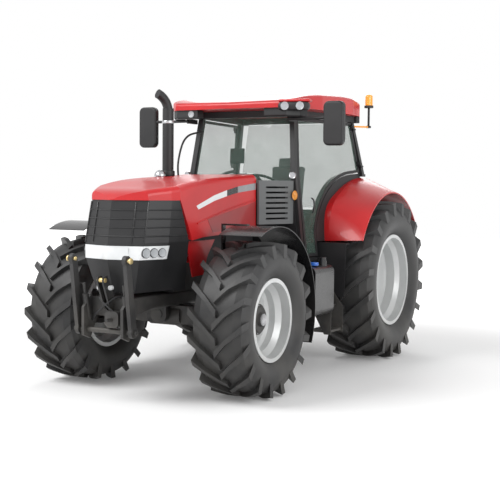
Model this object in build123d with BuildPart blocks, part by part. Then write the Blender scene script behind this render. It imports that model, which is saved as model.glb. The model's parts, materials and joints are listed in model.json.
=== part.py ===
from build123d import *
import os
from math import cos, radians, sin

os.makedirs("parts", exist_ok=True)

# Driving dimensions, in millimetres. +X is the tractor's left, the front faces -Y, the ground is z = 0
front_reach = -2590
rear_reach = 2590
wheelbase = 2884
rear_axle_y = 1500
front_axle_y = rear_axle_y - wheelbase
seat_gap = 0.2
running_gap = 0.05

# Wheels
rear_tyre_r = 930
rear_tyre_w = 650
rear_rim_r = 535
rear_rim_half = 262
rear_track_half = 1040
front_tyre_r = 750
front_tyre_w = 580
front_rim_r = 403
front_rim_half = 232
front_track_half = 960
tyre_belly = 0.42
tyre_shoulder = 0.26
flange_t = 12
flange_h = 28
rim_wall = 11
well_depth = 44
disc_t = 22
rear_disc_face = -70
lug_slope = (1.25, 0.72)
lug_knee = 0.36
lug_past = 16
rear_bar_r = 60
front_disc_face = 20
front_bore_r = 150

# Front axle and steering
kingpin_x = 720
kingpin_boss_r = 78
kingpin_boss_half = 108
kingpin_r = 26
knuckle_plate_t = 38
hub_case_r = 168
hub_case_x0 = 822
hub_case_x1 = 900
beam_half_y = 72
pivot_pin_r = 45
pivot_pin_half = 190
steer_arm_y = 250
mudguard_r = 842
mudguard_t = 8
mudguard_in = 790
mudguard_out = 1240
mudguard_ahead = 25
mudguard_behind = 115
mudguard_up = 50
mudguard_strap_x = 628
mudguard_strap_w = 60

# Chassis
support_half = 205
support_z0 = 850
support_z1 = 985
support_y0 = -2330
support_y1 = -830
engine_half = 225
engine_y0 = -1640
engine_y1 = -20
engine_z1 = 1800
gearbox_half = 215
gearbox_z0 = 640
gearbox_z1 = 1130
gearbox_y1 = rear_axle_y + 260
rockshaft = (gearbox_y1 - 66, 1225)
rockshaft_r = 36
lower_pivot = (gearbox_y1 - 50, 655)
top_link_pivot = (gearbox_y1 + 40, 1030)
top_link_r = 16
trumpet_r0 = 185
trumpet_r1 = 130
trumpet_x1 = 900

# Bonnet
hood_half = 480
hood_wall = 14
hood_rear_y = -430
hood_hinge_y = -445
hood_hinge_z = 1985
nose_y = -2352
lip_z = 1890
grille_wall = 16
nose_lean = ((0.55, 0.84), (0.97, 0.26))
side_panel_x = 400
side_panel_t = 10
exhaust_x = -390
exhaust_y = -800
exhaust_r = 60

# Cab
cab_front_y = 120
cab_rear_y = 1590
floor_z = 1200
floor_t = 40
cab_half = 690
cab_wall = 14
a_foot = (650, 140, 2150)
a_head = (584, 228, 2800)
c_foot = (866, 1548, 2150)
c_head = (752, 1452, 2800)
header_h = 72
header_rear_y = 1510
window_hinge = (1530, 2810)
window_pin_r = 8
window_knuckle_x = 440
door_hinge_at = (c_foot[0] + 46, c_foot[1] - 54, c_foot[2])
door_hinge_levels = (110, 560)
door_pin_r = 7
door_sleeve_r = 12
door_t = 26
door_rim = 34
door_rear_y = 1492
door_top_z = 2786
glass_t = 6
roof_z0 = a_head[2] + header_h
cowl_top = 2060

# Rear wheel arch
fender_mid = 862
fender_out = 1290
fender_skin = 14
arch_r = 1040


def save(builder, name):
    """Label a finished piece and write it under its own name."""
    save_shape(builder.part, name)


def save_shape(shape, name):
    """Label a finished shape and write it under its own name."""
    shape.label = name
    export_step(shape, "parts/" + name + ".step")


def save_pair(builder, stem):
    """Write a left-hand piece and its mirror image."""
    save_shapes(builder.part, stem)


def save_shapes(shape, stem):
    """Write a left-hand shape and its mirror image."""
    save_shape(shape, stem + "_left")
    save_shape(mirror(shape, about=Plane.YZ), stem + "_right")


def axle_plane(x, y, z):
    """A plane through a left wheel's centre whose local x runs outboard and whose local y is up."""
    return Plane(origin=(x, y, z), x_dir=(1, 0, 0), z_dir=(0, -1, 0))


def around(y, z, r, deg):
    """A point in side view at radius r, an angle deg behind straight up."""
    return (y + r * sin(radians(deg)), z + r * cos(radians(deg)))


def arc_band(y, z, r, thick, deg0, deg1):
    """A side-view strip of even thickness that bends about (y, z)."""
    mid = (deg0 + deg1) / 2
    ThreePointArc(around(y, z, r, deg0), around(y, z, r, mid), around(y, z, r, deg1))
    Line(around(y, z, r, deg1), around(y, z, r + thick, deg1))
    ThreePointArc(around(y, z, r + thick, deg1), around(y, z, r + thick, mid), around(y, z, r + thick, deg0))
    Line(around(y, z, r + thick, deg0), around(y, z, r, deg0))


def lerp(a, b, t):
    """The point a share t of the way from a to b."""
    return tuple(p + (q - p) * t for p, q in zip(a, b))


# Wheels: a tyre on its rim, both turned about the axle
def make_tyre(stem, y, outer_r, width, track, rim_r, rim_half, lugs, lug_h, lug_w):
    """A tyre with slanting lugs, staggered left and right, whose tips reach outer_r."""
    half = width / 2
    bead = rim_half - flange_t - seat_gap
    seat = rim_r - flange_h + seat_gap
    crown = outer_r - lug_h
    belly = rim_r + tyre_belly * (outer_r - rim_r)
    shoulder_r = crown - tyre_shoulder * (crown - rim_r)
    shoulder_x = half * 0.955
    wheel = Plane(origin=(track, y, outer_r), x_dir=(0, 0, 1), z_dir=(1, 0, 0))
    with BuildPart() as lug:
        with BuildSketch(Plane.YZ.offset(outer_r * 0.72)):
            with BuildLine():
                knee = (-lug_slope[0] * half * lug_knee, half * lug_knee)
                end = (knee[0] - lug_slope[1] * half * (1 - lug_knee), half)
                lead = end[0] / 2
                near = lug_w * 0.6
                Polyline((near - lead, -lug_past), (knee[0] - lead + near, knee[1]), (end[0] - lead + near, end[1]),
                         (end[0] - lead - near, end[1]), (knee[0] - lead - near, knee[1] + lug_past),
                         (-lead - near, -lug_past), (near - lead, -lug_past))
            make_face()
        extrude(amount=outer_r * 0.3)
        with BuildSketch(Plane.XZ):
            with BuildLine():
                Polyline((outer_r * 0.7, -lug_past - 5), (outer_r, -lug_past - 5), (outer_r, half * 0.55),
                         (outer_r - 0.4 * lug_h, half - 1), (shoulder_r - 30, half - 1),
                         (outer_r * 0.7, half * 0.5), (outer_r * 0.7, -lug_past - 5))
            make_face()
        revolve(axis=Axis.Z, mode=Mode.INTERSECT)
    with BuildPart() as tyre:
        with BuildSketch(Plane.XZ):
            with BuildLine():
                Line((seat, -bead), (seat, bead))
                Line((seat, bead), (rim_r + 6, bead))
                ThreePointArc((rim_r + 6, bead), (belly, half), (shoulder_r, shoulder_x))
                Polyline((shoulder_r, shoulder_x), (crown - 0.7 * lug_h, half * 0.86), (crown - 0.15 * lug_h, half * 0.6),
                         (crown, 0), (crown - 0.15 * lug_h, -half * 0.6), (crown - 0.7 * lug_h, -half * 0.86),
                         (shoulder_r, -shoulder_x))
                ThreePointArc((shoulder_r, -shoulder_x), (belly, -half), (rim_r + 6, -bead))
                Line((rim_r + 6, -bead), (seat, -bead))
            make_face()
        revolve(axis=Axis.Z)
        bars = [Rot(0, 0, 360 * k / lugs) * lug.part for k in range(lugs)]
        other = mirror(lug.part, about=Plane.XY)
        bars += [Rot(0, 0, 360 * (k + 0.5) / lugs) * other for k in range(lugs)]
        add(bars)
    placed = wheel.location * tyre.part
    save_shapes(placed, stem)


def make_rim(stem, y, tyre_r, track, rim_r, rim_half, dish, hub_r, face, bore_r):
    seat = rim_r - flange_h
    well = seat - well_depth
    inner = well - rim_wall
    with BuildPart() as rim:
        with BuildSketch(axle_plane(track, y, tyre_r)):
            with BuildLine():
                Polyline(
                    (-rim_half, rim_r), (-rim_half + flange_t, rim_r), (-rim_half + flange_t, seat),
                    (-rim_half + 100, seat), (-rim_half + 150, well), (rim_half - 150, well),
                    (rim_half - 100, seat), (rim_half - flange_t, seat), (rim_half - flange_t, rim_r),
                    (rim_half, rim_r), (rim_half, seat - rim_wall), (rim_half - 96, seat - rim_wall),
                    (rim_half - 146, inner), (dish + 30, inner), (dish + 10, inner - 40),
                    (face, hub_r), (face, bore_r), (face - disc_t, bore_r), (face - disc_t, hub_r),
                    (dish - 12, inner - 40), (dish - 12, inner), (-rim_half + 146, inner),
                    (-rim_half + 96, seat - rim_wall), (-rim_half, seat - rim_wall), (-rim_half, rim_r))
            make_face()
        revolve(axis=Axis((track, y, tyre_r), (1, 0, 0)))
    save_pair(rim, stem)


make_tyre("tyre_rear", rear_axle_y, rear_tyre_r, rear_tyre_w, rear_track_half, rear_rim_r, rear_rim_half,
          20, 48, 62)
make_tyre("tyre_front", front_axle_y, front_tyre_r, front_tyre_w, front_track_half, front_rim_r,
          front_rim_half, 18, 42, 54)
make_rim("rim_rear", rear_axle_y, rear_tyre_r, rear_track_half, rear_rim_r, rear_rim_half,
         -20, 190, rear_disc_face, rear_bar_r)
make_rim("rim_front", front_axle_y, front_tyre_r, front_track_half, front_rim_r, front_rim_half,
         -10, 190, front_disc_face, front_bore_r)

# Rear hub: a flange behind the wheel disc and a bar through it
with BuildPart() as hub_rear:
    with BuildSketch(axle_plane(rear_track_half, rear_axle_y, rear_tyre_r)):
        with BuildLine():
            flange_x = rear_disc_face - disc_t - seat_gap
            inner_x = trumpet_x1 + seat_gap - rear_track_half
            bar_r = rear_bar_r - seat_gap
            Polyline((inner_x, 0), (inner_x, 120), (flange_x - 26, 120), (flange_x - 26, 175),
                     (flange_x, 175), (flange_x, bar_r), (40, bar_r), (40, 0), (inner_x, 0))
        make_face()
    revolve(axis=Axis((rear_track_half, rear_axle_y, rear_tyre_r), (1, 0, 0)))
save_pair(hub_rear, "hub_rear")

# Front hub: the turning planetary case, from the knuckle out through the wheel disc
with BuildPart() as hub_front:
    with BuildSketch(axle_plane(front_track_half, front_axle_y, front_tyre_r)):
        with BuildLine():
            flange_x = front_disc_face - disc_t - seat_gap
            inner_x = hub_case_x1 + seat_gap - front_track_half
            case_r = front_bore_r - seat_gap
            Polyline((inner_x, 0), (inner_x, 155), (flange_x - 24, 155), (flange_x - 24, 185),
                     (flange_x, 185), (flange_x, case_r), (70, case_r), (96, 118), (96, 70), (120, 60),
                     (120, 0), (inner_x, 0))
        make_face()
    revolve(axis=Axis((front_track_half, front_axle_y, front_tyre_r), (1, 0, 0)))
save_pair(hub_front, "hub_front")

# Front axle: a beam hung on a lengthwise pivot pin, with a kingpin boss at each end
axle_z = front_tyre_r
with BuildPart() as front_axle:
    with BuildSketch(Plane.XZ.offset(-front_axle_y)):
        with BuildLine():
            Polyline((-690, axle_z - 62), (-690, axle_z + 62), (-220, axle_z + 84), (220, axle_z + 84),
                     (690, axle_z + 62), (690, axle_z - 62), (230, axle_z - 100), (-230, axle_z - 100),
                     (-690, axle_z - 62))
        make_face()
    extrude(amount=beam_half_y, both=True)
    with BuildSketch(Plane.YZ.offset(-190)):
        with Locations((front_axle_y, axle_z - 20)):
            Circle(104)
    extrude(amount=380)
    with BuildSketch(Plane.XZ.offset(-front_axle_y)):
        with Locations((0, axle_z)):
            Circle(pivot_pin_r)
    extrude(amount=pivot_pin_half, both=True)
    with BuildSketch(Plane.XY.offset(axle_z - kingpin_boss_half)):
        with Locations((-kingpin_x, front_axle_y), (kingpin_x, front_axle_y)):
            Circle(kingpin_boss_r)
    extrude(amount=2 * kingpin_boss_half)
    with BuildSketch(Plane.XY.offset(axle_z - kingpin_boss_half)):
        with Locations((-kingpin_x, front_axle_y), (kingpin_x, front_axle_y)):
            Circle(kingpin_r + running_gap)
    extrude(amount=2 * kingpin_boss_half, mode=Mode.SUBTRACT)
    # Steering cylinder behind the beam, on two ears
    with BuildSketch(Plane.YZ.offset(-210)):
        with Locations((front_axle_y + steer_arm_y, axle_z - 60)):
            Circle(46)
    extrude(amount=420)
    with BuildSketch(Plane.YZ.offset(20 - kingpin_x)):
        with Locations((front_axle_y + steer_arm_y, axle_z - 60)):
            Circle(16)
    extrude(amount=2 * (kingpin_x - 20))
    with Locations((20 - kingpin_x, front_axle_y + steer_arm_y, axle_z - 60),
                   (kingpin_x - 20, front_axle_y + steer_arm_y, axle_z - 60)):
        Sphere(26)
    for x0 in (-150, 104):
        with BuildSketch(Plane.YZ.offset(x0)):
            with Locations((front_axle_y + steer_arm_y / 2 + 20, axle_z - 60)):
                Rectangle(steer_arm_y - 40, 60)
        extrude(amount=46)
save(front_axle, "front_axle")

# Knuckle: two plates over and under the kingpin boss, a web and the fixed half of the hub case
with BuildPart() as knuckle:
    top0 = axle_z + kingpin_boss_half + seat_gap
    for z0 in (top0, axle_z - kingpin_boss_half - seat_gap - knuckle_plate_t):
        with BuildSketch(Plane.XY.offset(z0)):
            with Locations((kingpin_x, front_axle_y)):
                Circle(kingpin_boss_r - 3)
            with Locations(((kingpin_x + hub_case_x0 + 30) / 2, front_axle_y)):
                Rectangle(hub_case_x0 + 30 - kingpin_x, 2 * kingpin_boss_r - 6)
        extrude(amount=knuckle_plate_t)
    with BuildSketch(Plane.YZ.offset(hub_case_x0)):
        with Locations((front_axle_y, axle_z)):
            Rectangle(200, 2 * (kingpin_boss_half + seat_gap + knuckle_plate_t))
    extrude(amount=30)
    with BuildSketch(Plane.YZ.offset(hub_case_x0 + 10)):
        with Locations((front_axle_y, axle_z)):
            Circle(hub_case_r)
    extrude(amount=hub_case_x1 - hub_case_x0 - 10)
    with BuildSketch(Plane.XY.offset(axle_z - kingpin_boss_half - 5)):
        with Locations((kingpin_x, front_axle_y)):
            Circle(kingpin_r)
    extrude(amount=2 * kingpin_boss_half + 10)
    # Steering arm, back from the lower plate
    with BuildSketch(Plane.XY.offset(axle_z - kingpin_boss_half - seat_gap - knuckle_plate_t)):
        with BuildLine():
            Polyline((kingpin_x - 40, front_axle_y), (kingpin_x + 50, front_axle_y),
                     (kingpin_x + 8, front_axle_y + steer_arm_y), (kingpin_x - 48, front_axle_y + steer_arm_y),
                     (kingpin_x - 40, front_axle_y))
        make_face()
        with Locations((kingpin_x - 20, front_axle_y + steer_arm_y)):
            Circle(28)
    extrude(amount=30)
save_pair(knuckle, "knuckle")

# Mudguard: a bent strip over the front tyre, on a strap that stands on the knuckle
with BuildPart() as mudguard:
    with BuildSketch(Plane.YZ.offset(mudguard_in)):
        with BuildLine():
            arc_band(front_axle_y, axle_z + mudguard_up, mudguard_r, mudguard_t, -mudguard_ahead, mudguard_behind)
        make_face()
    extrude(amount=mudguard_out - mudguard_in)
    with BuildSketch(Plane.XZ.offset(-front_axle_y)):
        with BuildLine():
            foot_z = axle_z + kingpin_boss_half + 2 * seat_gap + knuckle_plate_t
            arch_z = axle_z + mudguard_up + mudguard_r
            Polyline((kingpin_x + 30, foot_z), (mudguard_strap_x, foot_z), (mudguard_strap_x, arch_z + 20),
                     (mudguard_in + 120, arch_z + 20), (mudguard_in + 120, arch_z + 4),
                     (mudguard_strap_x + 16, arch_z + 4), (mudguard_strap_x + 16, foot_z + 16),
                     (kingpin_x + 30, foot_z + 16), (kingpin_x + 30, foot_z))
        make_face()
    extrude(amount=mudguard_strap_w / 2, both=True)
save_pair(mudguard, "mudguard")

# Front support: the casting under the engine, with a lug each side of the axle for its pivot pin
with BuildPart() as front_support:
    with BuildSketch(Plane.YZ.offset(-support_half)):
        with BuildLine():
            Polyline((support_y0, support_z0 - 40), (support_y0, support_z1), (support_y1, support_z1),
                     (support_y1, support_z0 - 60), (support_y1 - 240, support_z0), (support_y0 + 260, support_z0),
                     (support_y0, support_z0 - 40))
        make_face()
    extrude(amount=2 * support_half)
    fillet(front_support.edges().filter_by(Axis.Y), radius=24)
    for y0 in (front_axle_y - pivot_pin_half + 8, front_axle_y + pivot_pin_half - 68):
        with BuildSketch(Plane.XZ.offset(-y0 - 60)):
            with Locations((0, axle_z)):
                Circle(92)
            with Locations((0, axle_z + 60)):
                Rectangle(184, 120)
        extrude(amount=60)
        with BuildSketch(Plane.XZ.offset(-y0 - 60)):
            with Locations((0, axle_z)):
                Circle(pivot_pin_r + running_gap)
        extrude(amount=60, mode=Mode.SUBTRACT)
save(front_support, "front_support")

# Engine: one plain block at its real place
with BuildPart() as engine_block:
    with BuildSketch(Plane.XY.offset(support_z1 + seat_gap)):
        with Locations((0, (engine_y0 + engine_y1) / 2)):
            Rectangle(2 * engine_half, engine_y1 - engine_y0)
    extrude(amount=engine_z1 - support_z1 - seat_gap)
    chamfer(engine_block.edges().filter_by(Axis.Y).group_by(Axis.Z)[-1], length=70)
save(engine_block, "engine_block")

# Gearbox and rear axle in one casting
with BuildPart() as transmission:
    with BuildSketch(Plane.YZ.offset(-gearbox_half)):
        with BuildLine():
            Polyline((engine_y1 + seat_gap, gearbox_z0 + 70), (engine_y1 + seat_gap, gearbox_z1),
                     (gearbox_y1, gearbox_z1), (gearbox_y1, gearbox_z0 - 40), (rear_axle_y - 300, gearbox_z0 - 40),
                     (rear_axle_y - 460, gearbox_z0 + 70), (engine_y1 + seat_gap, gearbox_z0 + 70))
        make_face()
    extrude(amount=2 * gearbox_half)
    fillet(transmission.edges().filter_by(Axis.Y), radius=40)
    with BuildSketch(Plane.XZ.offset(-rear_axle_y)):
        with BuildLine():
            Polyline((-trumpet_x1, 0 + rear_tyre_r), (-trumpet_x1, rear_tyre_r + trumpet_r1 + 30),
                     (-trumpet_x1 + 40, rear_tyre_r + trumpet_r1 + 30), (-trumpet_x1 + 60, rear_tyre_r + trumpet_r1),
                     (-260, rear_tyre_r + trumpet_r0), (260, rear_tyre_r + trumpet_r0),
                     (trumpet_x1 - 60, rear_tyre_r + trumpet_r1), (trumpet_x1 - 40, rear_tyre_r + trumpet_r1 + 30),
                     (trumpet_x1, rear_tyre_r + trumpet_r1 + 30), (trumpet_x1, rear_tyre_r),
                     (-trumpet_x1, rear_tyre_r))
        make_face()
    revolve(axis=Axis((0, rear_axle_y, rear_tyre_r), (1, 0, 0)))
    # Cab mounts
    with BuildSketch(Plane.XY.offset(gearbox_z1 - 60)):
        with Locations((-150, 260), (150, 260), (-150, 1440), (150, 1440)):
            Rectangle(120, 120)
    extrude(amount=floor_z - gearbox_z1 + 60 - seat_gap)
    # Rockshaft bearings and the ears of the top link
    for x0 in (-200, 140):
        with BuildSketch(Plane.YZ.offset(x0)):
            with Locations((rockshaft[0], (rockshaft[1] + gearbox_z1) / 2 - 20)):
                Rectangle(120, rockshaft[1] - gearbox_z1 + 40)
            with Locations(rockshaft):
                Circle(60)
        extrude(amount=60)
        with BuildSketch(Plane.YZ.offset(x0)):
            with Locations(rockshaft):
                Circle(rockshaft_r + running_gap)
        extrude(amount=60, mode=Mode.SUBTRACT)
    for x0 in (-56, 32):
        with BuildSketch(Plane.YZ.offset(x0)):
            with Locations((gearbox_y1, top_link_pivot[1])):
                Rectangle(80, 90)
            with Locations(top_link_pivot):
                Circle(45)
        extrude(amount=24)
    with BuildSketch(Plane.YZ.offset(-56)):
        with Locations(top_link_pivot):
            Circle(top_link_r)
    extrude(amount=112)
    # Lower link pins
    with BuildSketch(Plane.YZ.offset(-360)):
        with Locations(lower_pivot):
            Circle(20)
    extrude(amount=720)
    # Power take-off stub
    with BuildSketch(Plane.XZ.offset(-gearbox_y1)):
        with Locations((0, 720)):
            Circle(22.2)
    extrude(amount=-90)
save(transmission, "transmission")

# Bonnet: the nose narrows in plan and in height. Each row: height, centre front y, then the half-width
# and y of the front corner, of the side corner and of the rear edge
nose_rows = (
    (1030, -2320, 215, -2285, 268, -1960, 392, -1700),
    (1340, -2425, 300, -2345, 398, -2080, 425, -1715),
    (1500, -2415, 330, -2310, 440, -2060, 462, -1745),
    (lip_z - seat_gap, -2352, 325, -2215, 440, -2010, 478, -1930),
)


def nose_row(z):
    """The nose's plan at height z, worked out between the two rows around it."""
    for low, high in zip(nose_rows, nose_rows[1:]):
        if z <= high[0]:
            return lerp(low, high, (z - low[0]) / (high[0] - low[0]))
    return nose_rows[-1]


def nose_face(z, grow=0, back=0):
    """A closed sketch outline of the nose at height z, grown outwards, its rear edge moved back."""
    row = nose_row(z)
    half = [(0, row[1]), (row[2], row[3]), (row[4], row[5]), (row[6], row[7])]
    out = [(0, row[1] - grow)]
    out += [(x + grow * lean[0], y - grow * lean[1]) for (x, y), lean in zip(half[1:3], nose_lean)]
    out += [(half[3][0] + grow, half[3][1] + back)]
    left = [(-x, y) for x, y in reversed(out[1:])]
    Polyline(*out, *left, out[0])


def nose_loft(heights, grow, back, mode=Mode.ADD):
    """A ruled body through the nose's outlines at the given heights."""
    faces = []
    for z in heights:
        with BuildSketch(Plane.XY.offset(z)) as level:
            with BuildLine():
                nose_face(z, grow, back)
            make_face()
        faces.append(level.sketch)
    loft(faces, ruled=True, mode=mode)


band_z0 = 1345
band_z1 = 1470
band_end_y = -2045
band_depth = 12
levels = [row[0] for row in nose_rows]


def lamp_ring(grow_out, grow_in, extra):
    """The wrap-round strip of the lamp band, between two outlines of the nose."""
    with BuildPart() as ring:
        nose_loft([band_z0 - extra, band_z1 + extra], grow_out, 0)
        nose_loft([band_z0 - 2 * extra - 1, band_z1 + 2 * extra + 1], grow_in, 500, Mode.SUBTRACT)
        with BuildSketch(Plane.XY.offset(band_z0 - 50)):
            with Locations((0, band_end_y + 250 + extra)):
                Rectangle(1200, 500)
        extrude(amount=band_z1 - band_z0 + 100, mode=Mode.SUBTRACT)
    return ring.part


with BuildPart() as grille:
    nose_loft(levels, 0, 0)
    nose_loft([levels[0] - 5] + levels[1:-1] + [levels[-1] + 5], -grille_wall, 40, Mode.SUBTRACT)
    add(lamp_ring(30, -band_depth, seat_gap), mode=Mode.SUBTRACT)
save(grille, "grille")

with BuildPart() as lamp_band:
    add(lamp_ring(5, seat_gap - band_depth, 0))
save(lamp_band, "lamp_band")


def hood_side(inset):
    """The bonnet's side view, drawn in by an inset."""
    top = [(nose_y + inset, lip_z + inset + 12), (nose_y + 60 + inset, 1952 - inset), (-2040, 2010 - inset),
           (-1790, 2052 - inset), (-1190, 2108 - inset), (hood_rear_y, 2150 - inset)]
    Spline(*top)
    Polyline(top[-1], (hood_rear_y, 1560 - inset), (-1500, 1530 - inset), (-1712, 1505 - inset),
             (-1735 + inset, 1560), (-1922 + inset, lip_z), (nose_y + inset, lip_z), top[0])


def hood_plan(inset):
    """The bonnet's plan, drawn in by an inset."""
    half = [(322 - inset * 0.5, -2226 + inset), (441 - inset, -2018 + inset * 0.4), (480 - inset, -1925),
            (480 - inset, hood_rear_y + 5)]
    left = [(-x, y) for x, y in reversed(half)]
    Polyline((0, nose_y - 8 + inset), *half, *left, (0, nose_y - 8 + inset))


def hood_body(inset, soft):
    """The bonnet's solid form, from its side view and its plan."""
    with BuildPart() as body:
        with BuildSketch(Plane.YZ.offset(-hood_half)):
            with BuildLine():
                hood_side(inset)
            make_face()
        extrude(amount=2 * hood_half)
        with BuildSketch(Plane.XY.offset(1400)):
            with BuildLine():
                hood_plan(inset)
            make_face()
        extrude(amount=900, mode=Mode.INTERSECT)
        tops = body.edges().filter_by(lambda e: e.center().Z > 1900 + 20 and e.center().Y > -2300
                                      and abs(e.center().X) > 300)
        tops = [e for e in tops if e.length > 100 and abs(e.tangent_at(0.5).Z) < 0.9]
        fillet(tops, radius=soft)
    return body.part


# The bonnet swings on a cross rod near its rear edge, in two lugs under its skin
rod_r = 14
rod_half = 340
lug_x = 190
lug_t = 24
slot_y0 = -1040
slot_y1 = -715
slot_half = 74
with BuildPart() as hood:
    add(hood_body(0, 60))
    add(hood_body(hood_wall, 50), mode=Mode.SUBTRACT)
    for x0 in (-lug_x - lug_t, lug_x):
        with BuildSketch(Plane.YZ.offset(x0)):
            with Locations((hood_hinge_y, hood_hinge_z)):
                Circle(34)
            with Locations((hood_hinge_y - 30, hood_hinge_z + 78)):
                Rectangle(80, 156)
        extrude(amount=lug_t)
        with BuildSketch(Plane.YZ.offset(x0)):
            with Locations((hood_hinge_y, hood_hinge_z)):
                Circle(rod_r + running_gap)
        extrude(amount=lug_t, mode=Mode.SUBTRACT)
    # The slot in the right shoulder that lets the bonnet rise past the exhaust
    with BuildSketch(Plane.XY.offset(1980)):
        with Locations((exhaust_x, (slot_y0 + slot_y1) / 2)):
            RectangleRounded(2 * slot_half, slot_y1 - slot_y0, slot_half - 4)
    extrude(amount=300, mode=Mode.SUBTRACT)
save(hood, "hood")

# Red side panels behind the nose, inside the front wheels' turning room
with BuildPart() as side_panels:
    with BuildSketch(Plane.YZ.offset(side_panel_x - side_panel_t)):
        with BuildLine():
            Polyline((-1690, 1490), (-1150, 1490), (-1290, 1330), (-1370, 1150), (-1570, 1140), (-1690, 1490))
        make_face()
    extrude(amount=side_panel_t)
    with BuildSketch(Plane.XZ.offset(1420)):
        with Locations(((engine_half + seat_gap + side_panel_x - side_panel_t) / 2, 1300)):
            Rectangle(side_panel_x - side_panel_t - engine_half - seat_gap, 60)
    extrude(amount=40, both=True)
    mirror(about=Plane.YZ)
save(side_panels, "side_panels")

# Exhaust: a stack that stands beside the engine and leans out at its tip
with BuildPart() as exhaust:
    stack_z = 2845
    tip = (exhaust_x - 55, exhaust_y - 120, 2995)
    with BuildSketch(Plane.XY.offset(1690)):
        with Locations((exhaust_x, exhaust_y)):
            Circle(exhaust_r)
    extrude(amount=stack_z - 1690)
    with BuildLine():
        TangentArc((exhaust_x, exhaust_y, stack_z - 40), tip, tangent=(0, 0, 1))
    with BuildSketch(Plane.XY.offset(stack_z - 40)):
        with Locations((exhaust_x, exhaust_y)):
            Circle(exhaust_r - 10)
    sweep()
    with BuildSketch(Plane.YZ.offset(exhaust_x)):
        with Locations((exhaust_y, 1735)):
            Circle(exhaust_r - 10)
    extrude(amount=-exhaust_x - engine_half - seat_gap)
save(exhaust, "exhaust")

# The cab's leaning side, its door hinge and the door's curved rear edge
side_u = Vector(c_foot[0] - a_foot[0], c_foot[1] - a_foot[1], 0).normalized()
side_n = side_u.cross(Vector(*a_head) - Vector(*a_foot)).normalized()
side_plane = Plane(origin=a_foot, x_dir=side_u, z_dir=side_n)
side_v = side_plane.y_dir
hinge_dir = (Vector(*c_head) - Vector(*c_foot)).normalized()
hinge_out = side_u.cross(hinge_dir).normalized()
door_z0 = floor_z + floor_t + 14
door_arch = [(436, 1540), (700, 1935), (1240, 2176)]


def side_uv(y, z):
    """The side plane's own coordinates of a point given by its y and z."""
    v = (z - a_foot[2]) / side_v.Z
    return ((y - a_foot[1] - v * side_v.Y) / side_u.Y, v)


def hinge_plane(level):
    """A plane across the left door's hinge axis: local x points out of the cab, local y to the rear."""
    return Plane(origin=Vector(*door_hinge_at) + hinge_dir * level, x_dir=hinge_out, z_dir=hinge_dir)


# Cab: floor, side walls that follow the rear wheel arches, posts and a header ring
crest = [(600, 1415), (622, 1590), (690, 1775), (925, 1955), (1336, 2116), (1750, 2128), (2050, 2050),
         (2250, 1860), (2320, 1700)]
wall_y0 = door_arch[0][0] + 10
sill_z = floor_z + floor_t
rail_grow = 1.0003
post_low = (750, 156)
# Rail that fills the cab's side between the wheel arch and the door's curved edge
with BuildPart() as arch_rail:
    with BuildSketch(Plane.YZ.offset(cab_half - cab_wall)):
        with BuildLine():
            rail_top = [(wall_y0, door_arch[0][1] - 4), (door_arch[1][0] + 9, door_arch[1][1] - 7),
                        (door_arch[2][0] + 4, door_arch[2][1] - 10)]
            ThreePointArc(*rail_top)
            Polyline(rail_top[-1], (door_rear_y, 2188), (door_rear_y, crest[0][1]), (wall_y0, crest[0][1]), rail_top[0])
        make_face()
        with BuildLine():
            under = [(rear_axle_y + (y - rear_axle_y) * rail_grow, rear_tyre_r + (z - rear_tyre_r) * rail_grow)
                     for y, z in crest]
            Spline(*under)
            Polyline(under[-1], (under[-1][0], 1000), (under[0][0], 1000), under[0])
        make_face(mode=Mode.SUBTRACT)
    extrude(amount=240)
    split(bisect_by=side_plane.offset(door_t / 2 - 3), keep=Keep.BOTTOM)

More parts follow.
